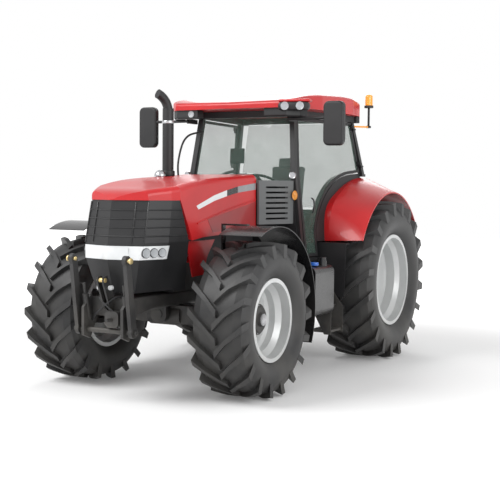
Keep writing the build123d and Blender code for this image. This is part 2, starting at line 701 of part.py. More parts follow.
with BuildPart() as cab_frame:
    add(arch_rail.part)
    with BuildSketch(Plane.XY.offset(floor_z)):
        with Locations((0, (cab_front_y + cab_rear_y) / 2)):
            Rectangle(2 * cab_half, cab_rear_y - cab_front_y)
    extrude(amount=floor_t)
    with BuildSketch(Plane.YZ.offset(cab_half - cab_wall)):
        with BuildLine():
            Polyline(crest[4], (1480, 2180), (cab_rear_y, 2180), (cab_rear_y, floor_z), (wall_y0, floor_z),
                     (wall_y0, 1400), crest[0])
            Spline(*crest[:5])
        make_face()
    extrude(amount=cab_wall)
    # Rear corner bracket over the arch, its post and the front post
    with BuildSketch(Plane.XY.offset(2150)):
        with Locations((cab_half + 80, cab_rear_y - 50)):
            Rectangle(260, 100)
    extrude(amount=30)
    for low, high, wide, deep in (((*post_low, floor_z), a_foot, 56, 62), (a_foot, a_head, 56, 62),
                                  ((c_foot[0], c_foot[1], 2160), c_head, 56, 68)):
        for end in (low, high):
            with BuildSketch(Plane.XY.offset(end[2])):
                with Locations(end[:2]):
                    Rectangle(wide, deep)
        loft(ruled=True)
    # Sill under the door
    with BuildSketch(Plane.XY.offset(floor_z)):
        with BuildLine():
            Polyline((cab_half - 20, cab_front_y), (post_low[0] + 26, cab_front_y), (post_low[0] + 50, wall_y0 + 14),
                     (cab_half - 20, wall_y0 + 14), (cab_half - 20, cab_front_y))
        make_face()
    extrude(amount=floor_t)
    # Door hinge brackets and their pins
    for level in door_hinge_levels:
        with BuildSketch(hinge_plane(level)):
            Circle(door_sleeve_r)
            with Locations((-13, 21)):
                Rectangle(42, 30)
        extrude(amount=20)
        with BuildSketch(hinge_plane(level)):
            Circle(door_pin_r)
        extrude(amount=86)
    mirror(about=Plane.YZ)
    # Header ring
    with BuildSketch(Plane.XY.offset(a_head[2] - 2)):
        for ring_in, ring_mode in ((0, Mode.ADD), (62, Mode.SUBTRACT)):
            with BuildLine():
                Polyline((-612 + ring_in, 196 + ring_in), (612 - ring_in, 196 + ring_in),
                         (780 - ring_in, header_rear_y - ring_in),
                         (-780 + ring_in, header_rear_y - ring_in),
                         (-612 + ring_in, 196 + ring_in))
            make_face(mode=ring_mode)
    extrude(amount=header_h + 2)
    # Rear wall under the window, front wall and the cowl ahead of it
    with BuildSketch(Plane.XZ.offset(-cab_rear_y)):
        with BuildLine():
            Polyline((-cab_half, floor_z), (cab_half, floor_z), (cab_half, 2100), (600, 1740), (-600, 1740),
                     (-cab_half, 2100), (-cab_half, floor_z))
        make_face()
    extrude(amount=cab_wall)
    with BuildSketch(Plane.XZ.offset(20 - cab_front_y)):
        with BuildLine():
            Polyline((-post_low[0] + 10, floor_z), (post_low[0] - 10, floor_z), (652, cowl_top), (-652, cowl_top),
                     (-post_low[0] + 10, floor_z))
        make_face()
    extrude(amount=-30)
    with BuildSketch(Plane.XY.offset(1830)):
        with Locations((0, -85)):
            Rectangle(900, 410)
    extrude(amount=cowl_top - 1830)
    # Brackets and pins that carry the rear window
    for x0, pin_x0 in ((window_knuckle_x + 50, window_knuckle_x - 10), (-window_knuckle_x - 70, -window_knuckle_x - 70)):
        with BuildSketch(Plane.YZ.offset(x0)):
            with Locations(window_hinge):
                Circle(window_pin_r + 5)
            with Locations(((header_rear_y + window_hinge[0]) / 2 - 5, window_hinge[1])):
                Rectangle(window_hinge[0] - header_rear_y + 10, 2 * window_pin_r + 10)
        extrude(amount=20)
        with BuildSketch(Plane.YZ.offset(pin_x0)):
            with Locations(window_hinge):
                Circle(window_pin_r)
        extrude(amount=80)
    for x0 in (-300, 276):
        with BuildSketch(Plane.YZ.offset(x0)):
            with Locations((hood_hinge_y + 80, hood_hinge_z)):
                Rectangle(160, 50)
            with Locations((hood_hinge_y, hood_hinge_z)):
                Circle(25)
        extrude(amount=lug_t)
    with BuildSketch(Plane.YZ.offset(-rod_half)):
        with Locations((hood_hinge_y, hood_hinge_z)):
            Circle(rod_r)
    extrude(amount=2 * rod_half)
save(cab_frame, "cab_frame")

# Grey louvred panels that close the gap between the bonnet and the cab's front posts
louvre_y1 = cab_front_y - 20 - seat_gap
with BuildPart() as side_louvres:
    with BuildSketch(Plane.XY.offset(1620)):
        with BuildLine():
            Polyline((488, -418), (512, -418), (664, louvre_y1), (628, louvre_y1), (488, -418))
        make_face()
    extrude(amount=470)
    for k in range(7):
        with BuildSketch(Plane.YZ.offset(440)):
            with Locations((-150, 1680 + 56 * k)):
                Rectangle(330, 20)
        extrude(amount=300, mode=Mode.SUBTRACT)
    mirror(about=Plane.YZ)
save(side_louvres, "side_louvres")

# Roof: a red shell with a falling front edge, on the header ring
with BuildPart() as roof:
    with BuildSketch(Plane.XY.offset(roof_z0 + seat_gap)):
        with BuildLine():
            half = [(700, -170), (800, -60), (862, 400), (872, 1250), (830, 1560), (700, 1620)]
            left = [(-x, y) for x, y in reversed(half)]
            Polyline((0, -205), *half, (0, 1640), *left, (0, -205))
        make_face()
    extrude(amount=260)
    with BuildSketch(Plane.YZ.offset(-900)):
        with BuildLine():
            roof_top = [(-215, roof_z0 + 60), (40, roof_z0 + 128), (600, roof_z0 + 180), (1200, roof_z0 + 196),
                        (1650, roof_z0 + 150)]
            Spline(*roof_top)
            Polyline(roof_top[-1], (1650, roof_z0), (-215, roof_z0), roof_top[0])
        make_face()
    extrude(amount=1800, mode=Mode.INTERSECT)
    fillet(roof.edges().filter_by(lambda e: e.center().Z > roof_z0 + 50), radius=38)
save(roof, "roof")

# Lamp housings under the roof's front corners and its rear edge
with BuildPart() as roof_lamps:
    with BuildSketch(Plane.XY.offset(roof_z0 - 96)):
        with BuildLine():
            Polyline((420, -150), (690, -150), (800, -40), (840, 60), (700, 60), (640, -20), (420, -20),
                     (420, -150))
        make_face()
    extrude(amount=96)
    fillet(roof_lamps.edges().group_by(Axis.Z)[0], radius=24)
    with BuildSketch(Plane.XY.offset(roof_z0 - 78)):
        with Locations((760, 1556)):
            RectangleRounded(120, 80, 30)
    extrude(amount=78)
    mirror(about=Plane.YZ)
save(roof_lamps, "roof_lamps")

# Windscreen: a sheet bowed in plan that leans back between the front posts
screen_z0 = cowl_top + seat_gap
screen_z1 = a_head[2] - 4
with BuildPart() as windscreen:
    for z, half_w, y_end, bow in ((screen_z0, 618, 128, 70), (screen_z1, 550, 216, 46)):
        with BuildSketch(Plane.XY.offset(z)):
            with BuildLine():
                ThreePointArc((-half_w, y_end), (0, y_end - bow), (half_w, y_end))
                Line((half_w, y_end), (half_w, y_end + glass_t))
                ThreePointArc((half_w, y_end + glass_t), (0, y_end - bow + glass_t), (-half_w, y_end + glass_t))
                Line((-half_w, y_end + glass_t), (-half_w, y_end))
            make_face()
    loft(ruled=True)
save(windscreen, "windscreen")

# Doors: a frame and its pane in the leaning side of the cab, drawn in that plane
door_corners = [door_arch[-1], (door_rear_y, 2200), (1404, door_top_z), (276, door_top_z), (192, 2150), (194, door_z0),
                (430, door_z0), door_arch[0]]


def door_edge():
    """The door's edge in the side plane."""
    Polyline(*[side_uv(*p) for p in door_corners])
    ThreePointArc(*[side_uv(*p) for p in door_arch])


with BuildPart() as door_frame:
    with BuildSketch(side_plane.offset(-door_t / 2)):
        with BuildLine():
            door_edge()
        make_face()
        offset(amount=-door_rim, mode=Mode.SUBTRACT)
    extrude(amount=door_t)
    for level in door_hinge_levels:
        with BuildSketch(hinge_plane(level + 30)):
            Circle(door_sleeve_r)
            with Locations((-15, -16)):
                Rectangle(54, 32)
        extrude(amount=46)
        with BuildSketch(hinge_plane(level + 30)):
            Circle(door_pin_r + running_gap)
        extrude(amount=46, mode=Mode.SUBTRACT)
save_pair(door_frame, "door")

with BuildPart() as door_glass:
    with BuildSketch(side_plane.offset(2)):
        with BuildLine():
            door_edge()
        make_face()
        offset(amount=-door_rim - seat_gap, mode=Mode.REPLACE)
    extrude(amount=glass_t)
save_pair(door_glass, "door_glass")

# Rear window: one pane hung from two knuckles behind the header
rear_u = Vector(1, 0, 0)
rear_foot = Vector(0, cab_rear_y + 8, 1765)
rear_head = Vector(0, *window_hinge)
rear_plane = Plane(origin=rear_foot, x_dir=rear_u, z_dir=rear_u.cross(rear_head - rear_foot))
rear_h = (rear_head - rear_foot).length - 18
with BuildPart() as rear_window:
    with BuildSketch(rear_plane):
        with BuildLine():
            Polyline((-590, 0), (590, 0), (630, 424), (786, 430), (680, rear_h), (-680, rear_h), (-786, 430),
                     (-630, 424), (-590, 0))
        make_face()
    extrude(amount=-glass_t)
    for x0 in (-window_knuckle_x - 40, window_knuckle_x):
        with BuildSketch(Plane.YZ.offset(x0)):
            with Locations(window_hinge):
                Circle(window_pin_r + 5)
            with Locations((window_hinge[0] + 5, window_hinge[1] - 35)):
                Rectangle(10, 70)
        extrude(amount=40)
        with BuildSketch(Plane.YZ.offset(x0)):
            with Locations(window_hinge):
                Circle(window_pin_r + running_gap)
        extrude(amount=40, mode=Mode.SUBTRACT)
save(rear_window, "rear_window")

# Fender: a shelf behind the cab wall and a skin that falls to its outer edge
def crest_band():
    """The fender's inner edge in side view: the crest and a line a skin below it."""
    drop = [(crest[0][0] + fender_skin, crest[0][1])]
    drop += [(rear_axle_y + (y - rear_axle_y) * 0.987, rear_tyre_r + (z - rear_tyre_r) * 0.987) for y, z in crest[1:-1]]
    drop += [(crest[-1][0] - fender_skin, crest[-1][1])]
    Spline(*crest)
    Line(crest[-1], drop[-1])
    Spline(*reversed(drop))
    Line(drop[0], crest[0])


def edge_band():
    """The fender's outer edge in side view, close over the tyre."""
    high = [around(rear_axle_y, rear_tyre_r, arch_r, a) for a in edge_angles]
    low = [around(rear_axle_y, rear_tyre_r, arch_r - fender_skin, a) for a in edge_angles]
    Spline(*high)
    Line(high[-1], low[-1])
    Spline(*reversed(low))
    Line(low[0], high[0])


edge_angles = (-61, -53, -44, -30, -8, 14, 33, 46, 52)
with BuildPart() as fender:
    with BuildSketch(Plane.YZ.offset(cab_half + seat_gap)):
        with BuildLine():
            crest_band()
        make_face()
    extrude(amount=fender_mid - cab_half - seat_gap)
    with BuildSketch(Plane.YZ.offset(fender_mid)):
        with BuildLine():
            crest_band()
        make_face()
    with BuildSketch(Plane.YZ.offset(fender_out)):
        with BuildLine():
            edge_band()
        make_face()
    loft(ruled=True)
save_pair(fender, "fender")

# Black boards under the fenders' front edges
board_y = wall_y0 + 42
with BuildPart() as fender_trims:
    with BuildSketch(Plane.XZ.offset(-board_y)):
        with BuildLine():
            Polyline((cab_half + seat_gap, 800), (1110, 800), (1130, 1400), (cab_half + seat_gap, 1400),
                     (cab_half + seat_gap, 800))
        make_face()
    extrude(amount=-14)
    with BuildSketch(Plane.XZ.offset(-board_y)):
        with Locations(((cab_half + 1130) / 2, 1390)):
            Rectangle(1130 - cab_half - 2 * seat_gap, 20)
    extrude(amount=-110)
    mirror(about=Plane.YZ)
save(fender_trims, "fender_trims")

# Fuel tank on the left with its filler, a plain tank on the right
tank_y0 = -370
tank_y1 = 105
tank_x0 = 640
tank_x1 = 1160
with BuildPart() as fuel_tank:
    with BuildSketch(Plane.XZ.offset(-tank_y0)):
        with Locations(((tank_x0 + tank_x1) / 2, 925)):
            RectangleRounded(tank_x1 - tank_x0, 530, 70)
    extrude(amount=tank_y0 - tank_y1)
    with BuildSketch(Plane.XY.offset(1180)):
        with Locations((1085, -40)):
            Circle(48)
    extrude(amount=60)
    with BuildSketch(Plane.XY.offset(1240)):
        with Locations((1085, -40)):
            Circle(40)
    extrude(amount=34)
    with BuildSketch(Plane.YZ.offset(gearbox_half + seat_gap)):
        with Locations((40, 860)):
            Rectangle(90, 140)
    extrude(amount=tank_x0 - gearbox_half + 20)
save(fuel_tank, "fuel_tank")

with BuildPart() as right_tank:
    with BuildSketch(Plane.XZ.offset(-tank_y0)):
        with Locations((-(tank_x0 + tank_x1) / 2, 925)):
            RectangleRounded(tank_x1 - tank_x0, 530, 70)
    extrude(amount=tank_y0 - tank_y1)
    with BuildSketch(Plane.YZ.offset(-gearbox_half - seat_gap)):
        with Locations((40, 860)):
            Rectangle(90, 140)
    extrude(amount=-(tank_x0 - gearbox_half + 20))
save(right_tank, "right_tank")

# Steps: three treads between two side plates, hung from the cab floor
step_y0 = 125
step_y1 = 455
with BuildPart() as steps:
    for y0 in (step_y0, step_y1 - 8):
        with BuildSketch(Plane.XZ.offset(-y0)):
            with BuildLine():
                Polyline((700, floor_z - seat_gap), (760, floor_z - seat_gap), (1120, 700), (1120, 420),
                         (1040, 420), (700, 1040), (700, floor_z - seat_gap))
            make_face()
        extrude(amount=-8)
    for x0, z0 in ((870, 440), (800, 700), (720, 950)):
        with BuildSketch(Plane.XY.offset(z0)):
            with Locations((x0 + 115, (step_y0 + step_y1) / 2)):
                Rectangle(230, step_y1 - step_y0 - 4)
        extrude(amount=24)
    with BuildSketch(Plane.XY.offset(floor_z - 40 - seat_gap)):
        with Locations((650, (step_y0 + step_y1) / 2)):
            Rectangle(160, step_y1 - step_y0)
    extrude(amount=40)
    mirror(about=Plane.YZ)
save(steps, "steps")

# Mirrors on arms from the heads of the front posts
with BuildPart() as mirrors:
    with BuildSketch(Plane.XZ.offset(30)):
        with Locations((1180, 2700)):
            RectangleRounded(235, 470, 60)
    extrude(amount=-64)
    fillet(mirrors.edges().group_by(Axis.Y)[0], radius=22)
    with BuildSketch(Plane.YZ.offset(a_head[0] + 50)):
        with Locations((0, 2760)):
            Circle(16)
    extrude(amount=1100 - a_head[0] - 50)
    with BuildSketch(Plane.XZ.offset(0)):
        with BuildLine():
            Polyline((a_head[0] + 40, 2735), (a_head[0] + 70, 2735), (a_head[0] + 70, 2785),
                     (a_head[0] + 40, 2785), (a_head[0] + 40, 2735))
        make_face()
    extrude(amount=-(a_head[1] - 32 - seat_gap - 5))
    mirror(about=Plane.YZ)
save(mirrors, "mirrors")

# Beacon on a pole from the left rear post
with BuildPart() as beacon:
    beacon_at = (900, 1665)
    beacon_foot_y = 1495.5
    with BuildSketch(Plane.XY.offset(2744)):
        with Locations(beacon_at):
            Circle(12)
    extrude(amount=236)
    with BuildSketch(Plane.XY.offset(2980)):
        with Locations(beacon_at):
            Circle(52)
    extrude(amount=28)
    with BuildSketch(Plane.XY.offset(3008)):
        with Locations(beacon_at):
            Circle(46)
    extrude(amount=132)
    fillet(beacon.edges().group_by(Axis.Z)[-1], radius=26)
    with BuildSketch(Plane.XY.offset(2740)):
        with BuildLine():
            Polyline((745, beacon_foot_y), (785, beacon_foot_y), (912, 1650), (912, 1680), (886, 1680),
                     (745, 1520), (745, beacon_foot_y))
        make_face()
    extrude(amount=20)
save(beacon, "beacon")

# Inside the cab: dash on its column, steering wheel, seat
with BuildPart() as dash:
    with BuildSketch(Plane.YZ.offset(-130)):
        with BuildLine():
            Polyline((250, sill_z + seat_gap), (470, sill_z + seat_gap), (470, 1800), (610, 1950), (520, 2070),
                     (330, 2010), (280, 1700), (250, sill_z + seat_gap))
        make_face()
    extrude(amount=260)
    with BuildSketch(Plane.XZ.offset(-860)):
        with Locations((-500, 1560)):
            RectangleRounded(230, 300, 40)
    extrude(amount=-560)
    with BuildSketch(Plane.XY.offset(sill_z + seat_gap)):
        with Locations((-500, 1140)):
            Rectangle(200, 500)
    extrude(amount=200)
save(dash, "dash")

with BuildPart() as steering_wheel:
    wheel_plane = Plane(origin=(0, 640, 2062), x_dir=(1, 0, 0), z_dir=(0, 0.55, 1))
    with BuildLine(wheel_plane):
        CenterArc((0, 0), 190, 0, 360)
    with BuildSketch(Plane(origin=wheel_plane.from_local_coords((190, 0, 0)), x_dir=(1, 0, 0),
                           z_dir=wheel_plane.y_dir)):
        Circle(15)
    sweep()
    with BuildSketch(wheel_plane.offset(-14)):
        Circle(48)
        with PolarLocations(95, 3, 30):
            Rectangle(190, 30)
    extrude(amount=20)
    with BuildSketch(wheel_plane.offset(-14)):
        Circle(26)
    extrude(amount=-74)
save(steering_wheel, "steering_wheel")

seat_y = 1080
with BuildPart() as seat_frame:
    with BuildSketch(Plane.XY.offset(sill_z + seat_gap)):
        with Locations((0, seat_y)):
            RectangleRounded(380, 420, 40)
    extrude(amount=360)
    with BuildSketch(Plane.XY.offset(sill_z + 360)):
        with Locations((0, seat_y)):
            RectangleRounded(500, 500, 60)
    extrude(amount=50)
save(seat_frame, "seat_frame")

with BuildPart() as seat_pads:
    with BuildSketch(Plane.XY.offset(sill_z + 410.3)):
        with Locations((0, seat_y)):
            RectangleRounded(500, 480, 80)
    extrude(amount=120)
    fillet(seat_pads.edges().group_by(Axis.Z)[-1], radius=35)
    with BuildSketch(Plane(origin=(0, seat_y + 150, sill_z + 480), x_dir=(1, 0, 0), z_dir=(0, 0.16, 1))):
        RectangleRounded(480, 120, 50)
    extrude(amount=640)
save(seat_pads, "seat_pads")

# Front linkage: a frame bolted to the front support and a pair of arms folded up
link_pivot_y = -2440
link_pivot_z = 690
link_x = 300
link_r = 24
with BuildPart() as front_linkage:
    for x0 in (-235, 205):
        with BuildSketch(Plane.YZ.offset(x0)):
            with BuildLine():
                Polyline((support_y0 + 60, 960), (support_y0 - 60, 1010), (support_y0 - 170, 900), (-2500, 640),
                         (-2400, 600), (support_y0 + 60, 840), (support_y0 + 60, 960))
            make_face()
        extrude(amount=30)
    with BuildSketch(Plane.XZ.offset(-support_y0 + seat_gap)):
        with Locations((0, 900)):
            Rectangle(420, 170)
    extrude(amount=40)
    with BuildSketch(Plane.YZ.offset(-link_x - 50)):
        with Locations((link_pivot_y, link_pivot_z)):
            Circle(link_r)
    extrude(amount=2 * link_x + 100)
    for x0 in (-40, 22):
        with BuildSketch(Plane.YZ.offset(x0)):
            with BuildLine():
                Polyline((support_y0 - 30, 860), (support_y0 - 30, 1000), (-2470, 1200), (-2530, 1190),
                         (-2530, 1130), (support_y0 - 40 - seat_gap - 60, 900), (support_y0 - 30, 860))
            make_face()
        extrude(amount=18)
    with BuildSketch(Plane.XZ.offset(-support_y0 + 40)):
        with Locations((90, 800)):
            RectangleRounded(150, 150, 40)
    extrude(amount=110)
    with BuildSketch(Plane.XZ.offset(-support_y0 + 150)):
        with Locations((90, 800)):
            Circle(17.4)
    extrude(amount=80)
save(front_linkage, "front_linkage")

arm_tip = (front_reach + 46, 1350)
with BuildPart() as front_links:
    with BuildSketch(Plane.YZ.offset(link_x - 20)):
        with BuildLine():
            Polyline((link_pivot_y + 40, link_pivot_z), (arm_tip[0] + 40, arm_tip[1]),
                     (arm_tip[0] - 30, arm_tip[1]), (link_pivot_y - 90, 1000), (link_pivot_y - 44, link_pivot_z),
                     (link_pivot_y + 40, link_pivot_z))
        make_face()
        with Locations((link_pivot_y, link_pivot_z)):
            Circle(52)
        with Locations(arm_tip):
            Circle(46)
    extrude(amount=40)
    with BuildSketch(Plane.YZ.offset(link_x - 20)):
        with Locations((link_pivot_y, link_pivot_z)):
            Circle(link_r + running_gap)
        with Locations(arm_tip):
            Circle(18.6)
    extrude(amount=40, mode=Mode.SUBTRACT)
    mirror(about=Plane.YZ)
save(front_links, "front_links")

# Rear hitch: drawbar, lower links, lift arms, lift rods and top link
lower_len = rear_reach - 45 - lower_pivot[0]
lower_x = 300
lift_tip = (rockshaft[0] + 330, 1330)
rod_foot = (lower_pivot[0] + 430, lower_pivot[1])
rod_x = 374
with BuildPart() as drawbar:
    with BuildSketch(Plane.XY.offset(440)):
        with Locations((0, (gearbox_y1 - 400 + 2240) / 2)):
            Rectangle(90, 2240 - gearbox_y1 + 400)
        with Locations((0, 2240)):
            Circle(45)
        with Locations((0, 2240)):
            Circle(16.5, mode=Mode.SUBTRACT)
    extrude(amount=34)
    for y0 in (gearbox_y1 - 380, gearbox_y1 - 60):
        with BuildSketch(Plane.XZ.offset(-y0)):
            with Locations((0, 515)):
                Rectangle(180, 170 - 2 * seat_gap)
            with Locations((0, 457)):
                Rectangle(90, 34, mode=Mode.SUBTRACT)
        extrude(amount=-50)
save(drawbar, "drawbar")

with BuildPart() as lower_links:
    with BuildSketch(Plane.YZ.offset(lower_x)):
        with BuildLine():
            Polyline((lower_pivot[0], lower_pivot[1] - 36), (lower_pivot[0], lower_pivot[1] + 36),
                     (rod_foot[0], rod_foot[1] + 50), (lower_pivot[0] + lower_len, lower_pivot[1] + 30),
                     (lower_pivot[0] + lower_len, lower_pivot[1] - 30), (lower_pivot[0], lower_pivot[1] - 36))
        make_face()
        with Locations(lower_pivot):
            Circle(40)
        with Locations((lower_pivot[0] + lower_len, lower_pivot[1])):
            Circle(45)
        with Locations(lower_pivot):
            Circle(20 + running_gap, mode=Mode.SUBTRACT)
        with Locations((lower_pivot[0] + lower_len, lower_pivot[1])):
            Circle(18.6, mode=Mode.SUBTRACT)
    extrude(amount=44)
    mirror(about=Plane.YZ)
save(lower_links, "lower_links")

with BuildPart() as lift_arms:
    with BuildSketch(Plane.YZ.offset(235)):
        with BuildLine():
            Polyline((rockshaft[0], rockshaft[1] - 60), (rockshaft[0], rockshaft[1] + 60),
                     (lift_tip[0], lift_tip[1] + 36), (lift_tip[0], lift_tip[1] - 36),
                     (rockshaft[0], rockshaft[1] - 60))
        make_face()
        with Locations(rockshaft):
            Circle(64)
        with Locations(lift_tip):
            Circle(38)
    extrude(amount=50)
    with BuildSketch(Plane.YZ.offset(0)):
        with Locations(rockshaft):
            Circle(rockshaft_r)
    extrude(amount=240)
    with BuildSketch(Plane.YZ.offset(285)):
        with Locations(lift_tip):
            Circle(18)
    extrude(amount=rod_x + 24 - 285)
    mirror(about=Plane.YZ)
save(lift_arms, "lift_arms")

with BuildPart() as lift_rods:
    with BuildSketch(Plane.YZ.offset(rod_x - 24)):
        with BuildLine():
            Polyline((lift_tip[0] - 24, lift_tip[1]), (lift_tip[0] + 24, lift_tip[1]),
                     (rod_foot[0] + 24, rod_foot[1] + 30), (rod_foot[0] - 24, rod_foot[1] + 30),
                     (lift_tip[0] - 24, lift_tip[1]))
        make_face()
        with Locations(lift_tip):
            Circle(36)
        with Locations(rod_foot):
            Circle(34)
        with Locations(lift_tip):
            Circle(18 + running_gap, mode=Mode.SUBTRACT)
        with Locations(rod_foot):
            Circle(15, mode=Mode.SUBTRACT)
    extrude(amount=36)
    mirror(about=Plane.YZ)
save(lift_rods, "lift_rods")

# Top link, laid back over the lower links
top_link_len = 690
top_link_tilt = 16
top_link_head = (top_link_pivot[0] + top_link_len * cos(radians(top_link_tilt)),
                 top_link_pivot[1] + top_link_len * sin(radians(top_link_tilt)))
with BuildPart() as top_link:
    with BuildSketch(Plane.YZ.offset(-28)):
        with BuildLine():
            Polyline((top_link_pivot[0], top_link_pivot[1] - 24), (top_link_pivot[0], top_link_pivot[1] + 24),
                     (top_link_head[0], top_link_head[1] + 24), (top_link_head[0], top_link_head[1] - 24),
                     (top_link_pivot[0], top_link_pivot[1] - 24))
        make_face()
        with Locations(top_link_pivot):
            Circle(38)
        with Locations(top_link_head):
            Circle(38)
        with Locations(top_link_pivot):
            Circle(top_link_r + running_gap, mode=Mode.SUBTRACT)
        with Locations(top_link_head):
            Circle(16, mode=Mode.SUBTRACT)
    extrude(amount=56)
save(top_link, "top_link")
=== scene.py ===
# %% [markdown]
# A farm tractor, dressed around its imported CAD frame.
# The CAD gives every main form at its real size: tyres with lugs, rims, castings, bonnet, cab, fenders
# and both linkages. This script gives them their finishes and adds what a maker fits last: lamps, grille
# bars, bolts, mirrors' glass, handles, hoses, pads and pins. Most new pieces are modelled with the same
# operators that one would use by hand, and each one then rides on the CAD body that carries it.

# %% Load the frame
import bpy
import json
from math import radians, pi
from mathutils import Vector, Matrix


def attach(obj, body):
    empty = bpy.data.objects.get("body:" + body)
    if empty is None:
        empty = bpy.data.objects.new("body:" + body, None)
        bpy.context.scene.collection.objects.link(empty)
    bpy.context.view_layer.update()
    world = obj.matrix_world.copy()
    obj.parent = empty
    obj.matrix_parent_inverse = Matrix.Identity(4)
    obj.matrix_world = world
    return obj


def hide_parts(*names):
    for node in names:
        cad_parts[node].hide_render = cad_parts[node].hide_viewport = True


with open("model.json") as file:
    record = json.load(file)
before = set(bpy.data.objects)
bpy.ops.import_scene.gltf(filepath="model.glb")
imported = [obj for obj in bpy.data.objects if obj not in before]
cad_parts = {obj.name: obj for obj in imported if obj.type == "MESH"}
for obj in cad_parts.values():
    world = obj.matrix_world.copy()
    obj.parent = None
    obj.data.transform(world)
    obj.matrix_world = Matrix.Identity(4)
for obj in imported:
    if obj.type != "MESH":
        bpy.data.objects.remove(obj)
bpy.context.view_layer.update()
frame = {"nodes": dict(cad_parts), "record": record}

nodes = frame["nodes"]
record = frame["record"]
slot_of = {row["node"]: row["material_slot"] for row in record["subparts"]}
print("frame:", len(nodes), "nodes")

# %% [markdown]
# Operators act on whatever is selected, and the loaded nodes all are. One helper clears the selection
# before each step, so that no operator touches a CAD node.


# %% Selection
def clear():
    """Object mode with nothing selected."""
    if bpy.context.object and bpy.context.object.mode != "OBJECT":
        bpy.ops.object.mode_set(mode="OBJECT")
    bpy.ops.object.select_all(action="DESELECT")


def pick(*pieces):
    """Select these pieces only; the first one is active."""
    clear()
    for piece in pieces:
        piece.select_set(True)
    bpy.context.view_layer.objects.active = pieces[0]


clear()

# %% [markdown]
# Finishes are sums of noises and masks. Written as node links they are hard to read, so a small class
# wraps a socket, and ordinary Python expressions on it add the Math nodes.


# %% Shader maths
class Wire:
    """A shader socket that can be used in Python expressions."""

    def __init__(self, tree, socket):
        self.tree = tree
        self.socket = socket

    def math(self, operation, *values, flip=False):
        terms = [self, *values]
        if flip:
            terms.reverse()
        return add_node(self.tree, "ShaderNodeMath", {"operation": operation}, dict(enumerate(terms)))

    def __add__(self, other):
        return self.math("ADD", other)

    def __mul__(self, other):
        return self.math("MULTIPLY", other)

    def __sub__(self, other):
        return self.math("SUBTRACT", other)

    def __rsub__(self, other):
        return self.math("SUBTRACT", other, flip=True)

    def above(self, edge, soft):
        """0 below the edge, rising to 1 over a soft width."""
        return add_node(self.tree, "ShaderNodeMapRange", {"interpolation_type": "SMOOTHSTEP"},
                        {0: self, 1: edge - soft, 2: edge + soft})

    __radd__ = __add__
    __rmul__ = __mul__


def add_node(tree, kind, settings, values, out=0):
    """Add a node: its settings first, then the values or links of its sockets."""
    node = tree.nodes.new(kind)
    for name, value in settings.items():
        setattr(node, name, value)
    for key, value in values.items():
        if isinstance(value, Wire):
            tree.links.new(value.socket, node.inputs[key])
        else:
            node.inputs[key].default_value = value
    return Wire(tree, node.outputs[out])


# %% [markdown]
# Every finish shares one base: a Principled shader that reads Object coordinates, so that a pattern
# stays put on its piece at any pose. A finish then differs in colour, gloss, the size of its grain and
# how much dust or wear it carries.

# %% A finish
coat_roughness = 0.06
dust_colour = (0.36, 0.32, 0.26, 1)
bump_depth = 0.002


def start_finish(name, roughness, metallic=0.0, coat=0.0, ior=1.45):
    """A new material; returns it with its tree, its shader and its Object coordinates."""
    material = bpy.data.materials.new(name)
    material.use_nodes = True
    tree = material.node_tree
    shader = tree.nodes["Principled BSDF"]
    shader.inputs["Roughness"].default_value = roughness
    shader.inputs["Metallic"].default_value = metallic
    shader.inputs["Coat Weight"].default_value = coat
    shader.inputs["Coat Roughness"].default_value = coat_roughness
    shader.inputs["IOR"].default_value = ior
    place = add_node(tree, "ShaderNodeTexCoord", {}, {}, out=3)
    return material, tree, shader, place


def noise(tree, place, scale, detail=3.0):
    """Soft noise from 0 to 1."""
    return add_node(tree, "ShaderNodeTexNoise", {},
                    {"Vector": place, "Scale": scale, "Detail": detail, "Roughness": 0.55})


def blend_colour(tree, factor, first, second):
    """A colour between two, by a factor."""
    return add_node(tree, "ShaderNodeMix", {"data_type": "RGBA"}, {0: factor, 6: first, 7: second}, out=2)


def link(tree, wire, shader, name):
    tree.links.new(wire.socket, shader.inputs[name])


def bump(tree, shader, height, strength, distance):
    """Fine relief from a height."""
    relief = add_node(tree, "ShaderNodeBump", {},
                      {"Strength": strength, "Distance": distance, "Height": height})
    link(tree, relief, shader, "Normal")


def height_of(tree, place):
    """The height above the ground at rest, in metres."""
    return add_node(tree, "ShaderNodeSeparateXYZ", {}, {0: place}, out=2)


def coloured(name, low, high, roughness, grain, relief, metallic=0.0, coat=0.0, dust=0.0, spread=0.08):
    """A finish with mottled colour, uneven gloss, fine relief and dust that gathers low down."""
    material, tree, shader, place = start_finish(name, roughness, metallic, coat)
    cloud = noise(tree, place, 2.6)
    fine = noise(tree, place, grain, detail=4.0)
    colour = blend_colour(tree, cloud.above(0.5, 0.25), (*low, 1), (*high, 1))
    if dust:
        low_down = 1 - height_of(tree, place).above(0.75, 0.7)
        film = low_down * cloud.above(0.45, 0.2) * dust
        colour = blend_colour(tree, film, colour, dust_colour)
    link(tree, colour, shader, "Base Color")
    link(tree, fine * spread + cloud * spread + (roughness - spread), shader, "Roughness")
    bump(tree, shader, fine, relief, bump_depth)
    return material


# %% [markdown]
# The red is a gloss enamel under a thin clear coat. Rubber is matte and a little dusty. The rims carry a
# pale silver enamel, and the castings a dark one with a rougher, sand-cast skin. Each line gives a low
# and a high colour, the roughness, the size of the grain and the strength of its relief.

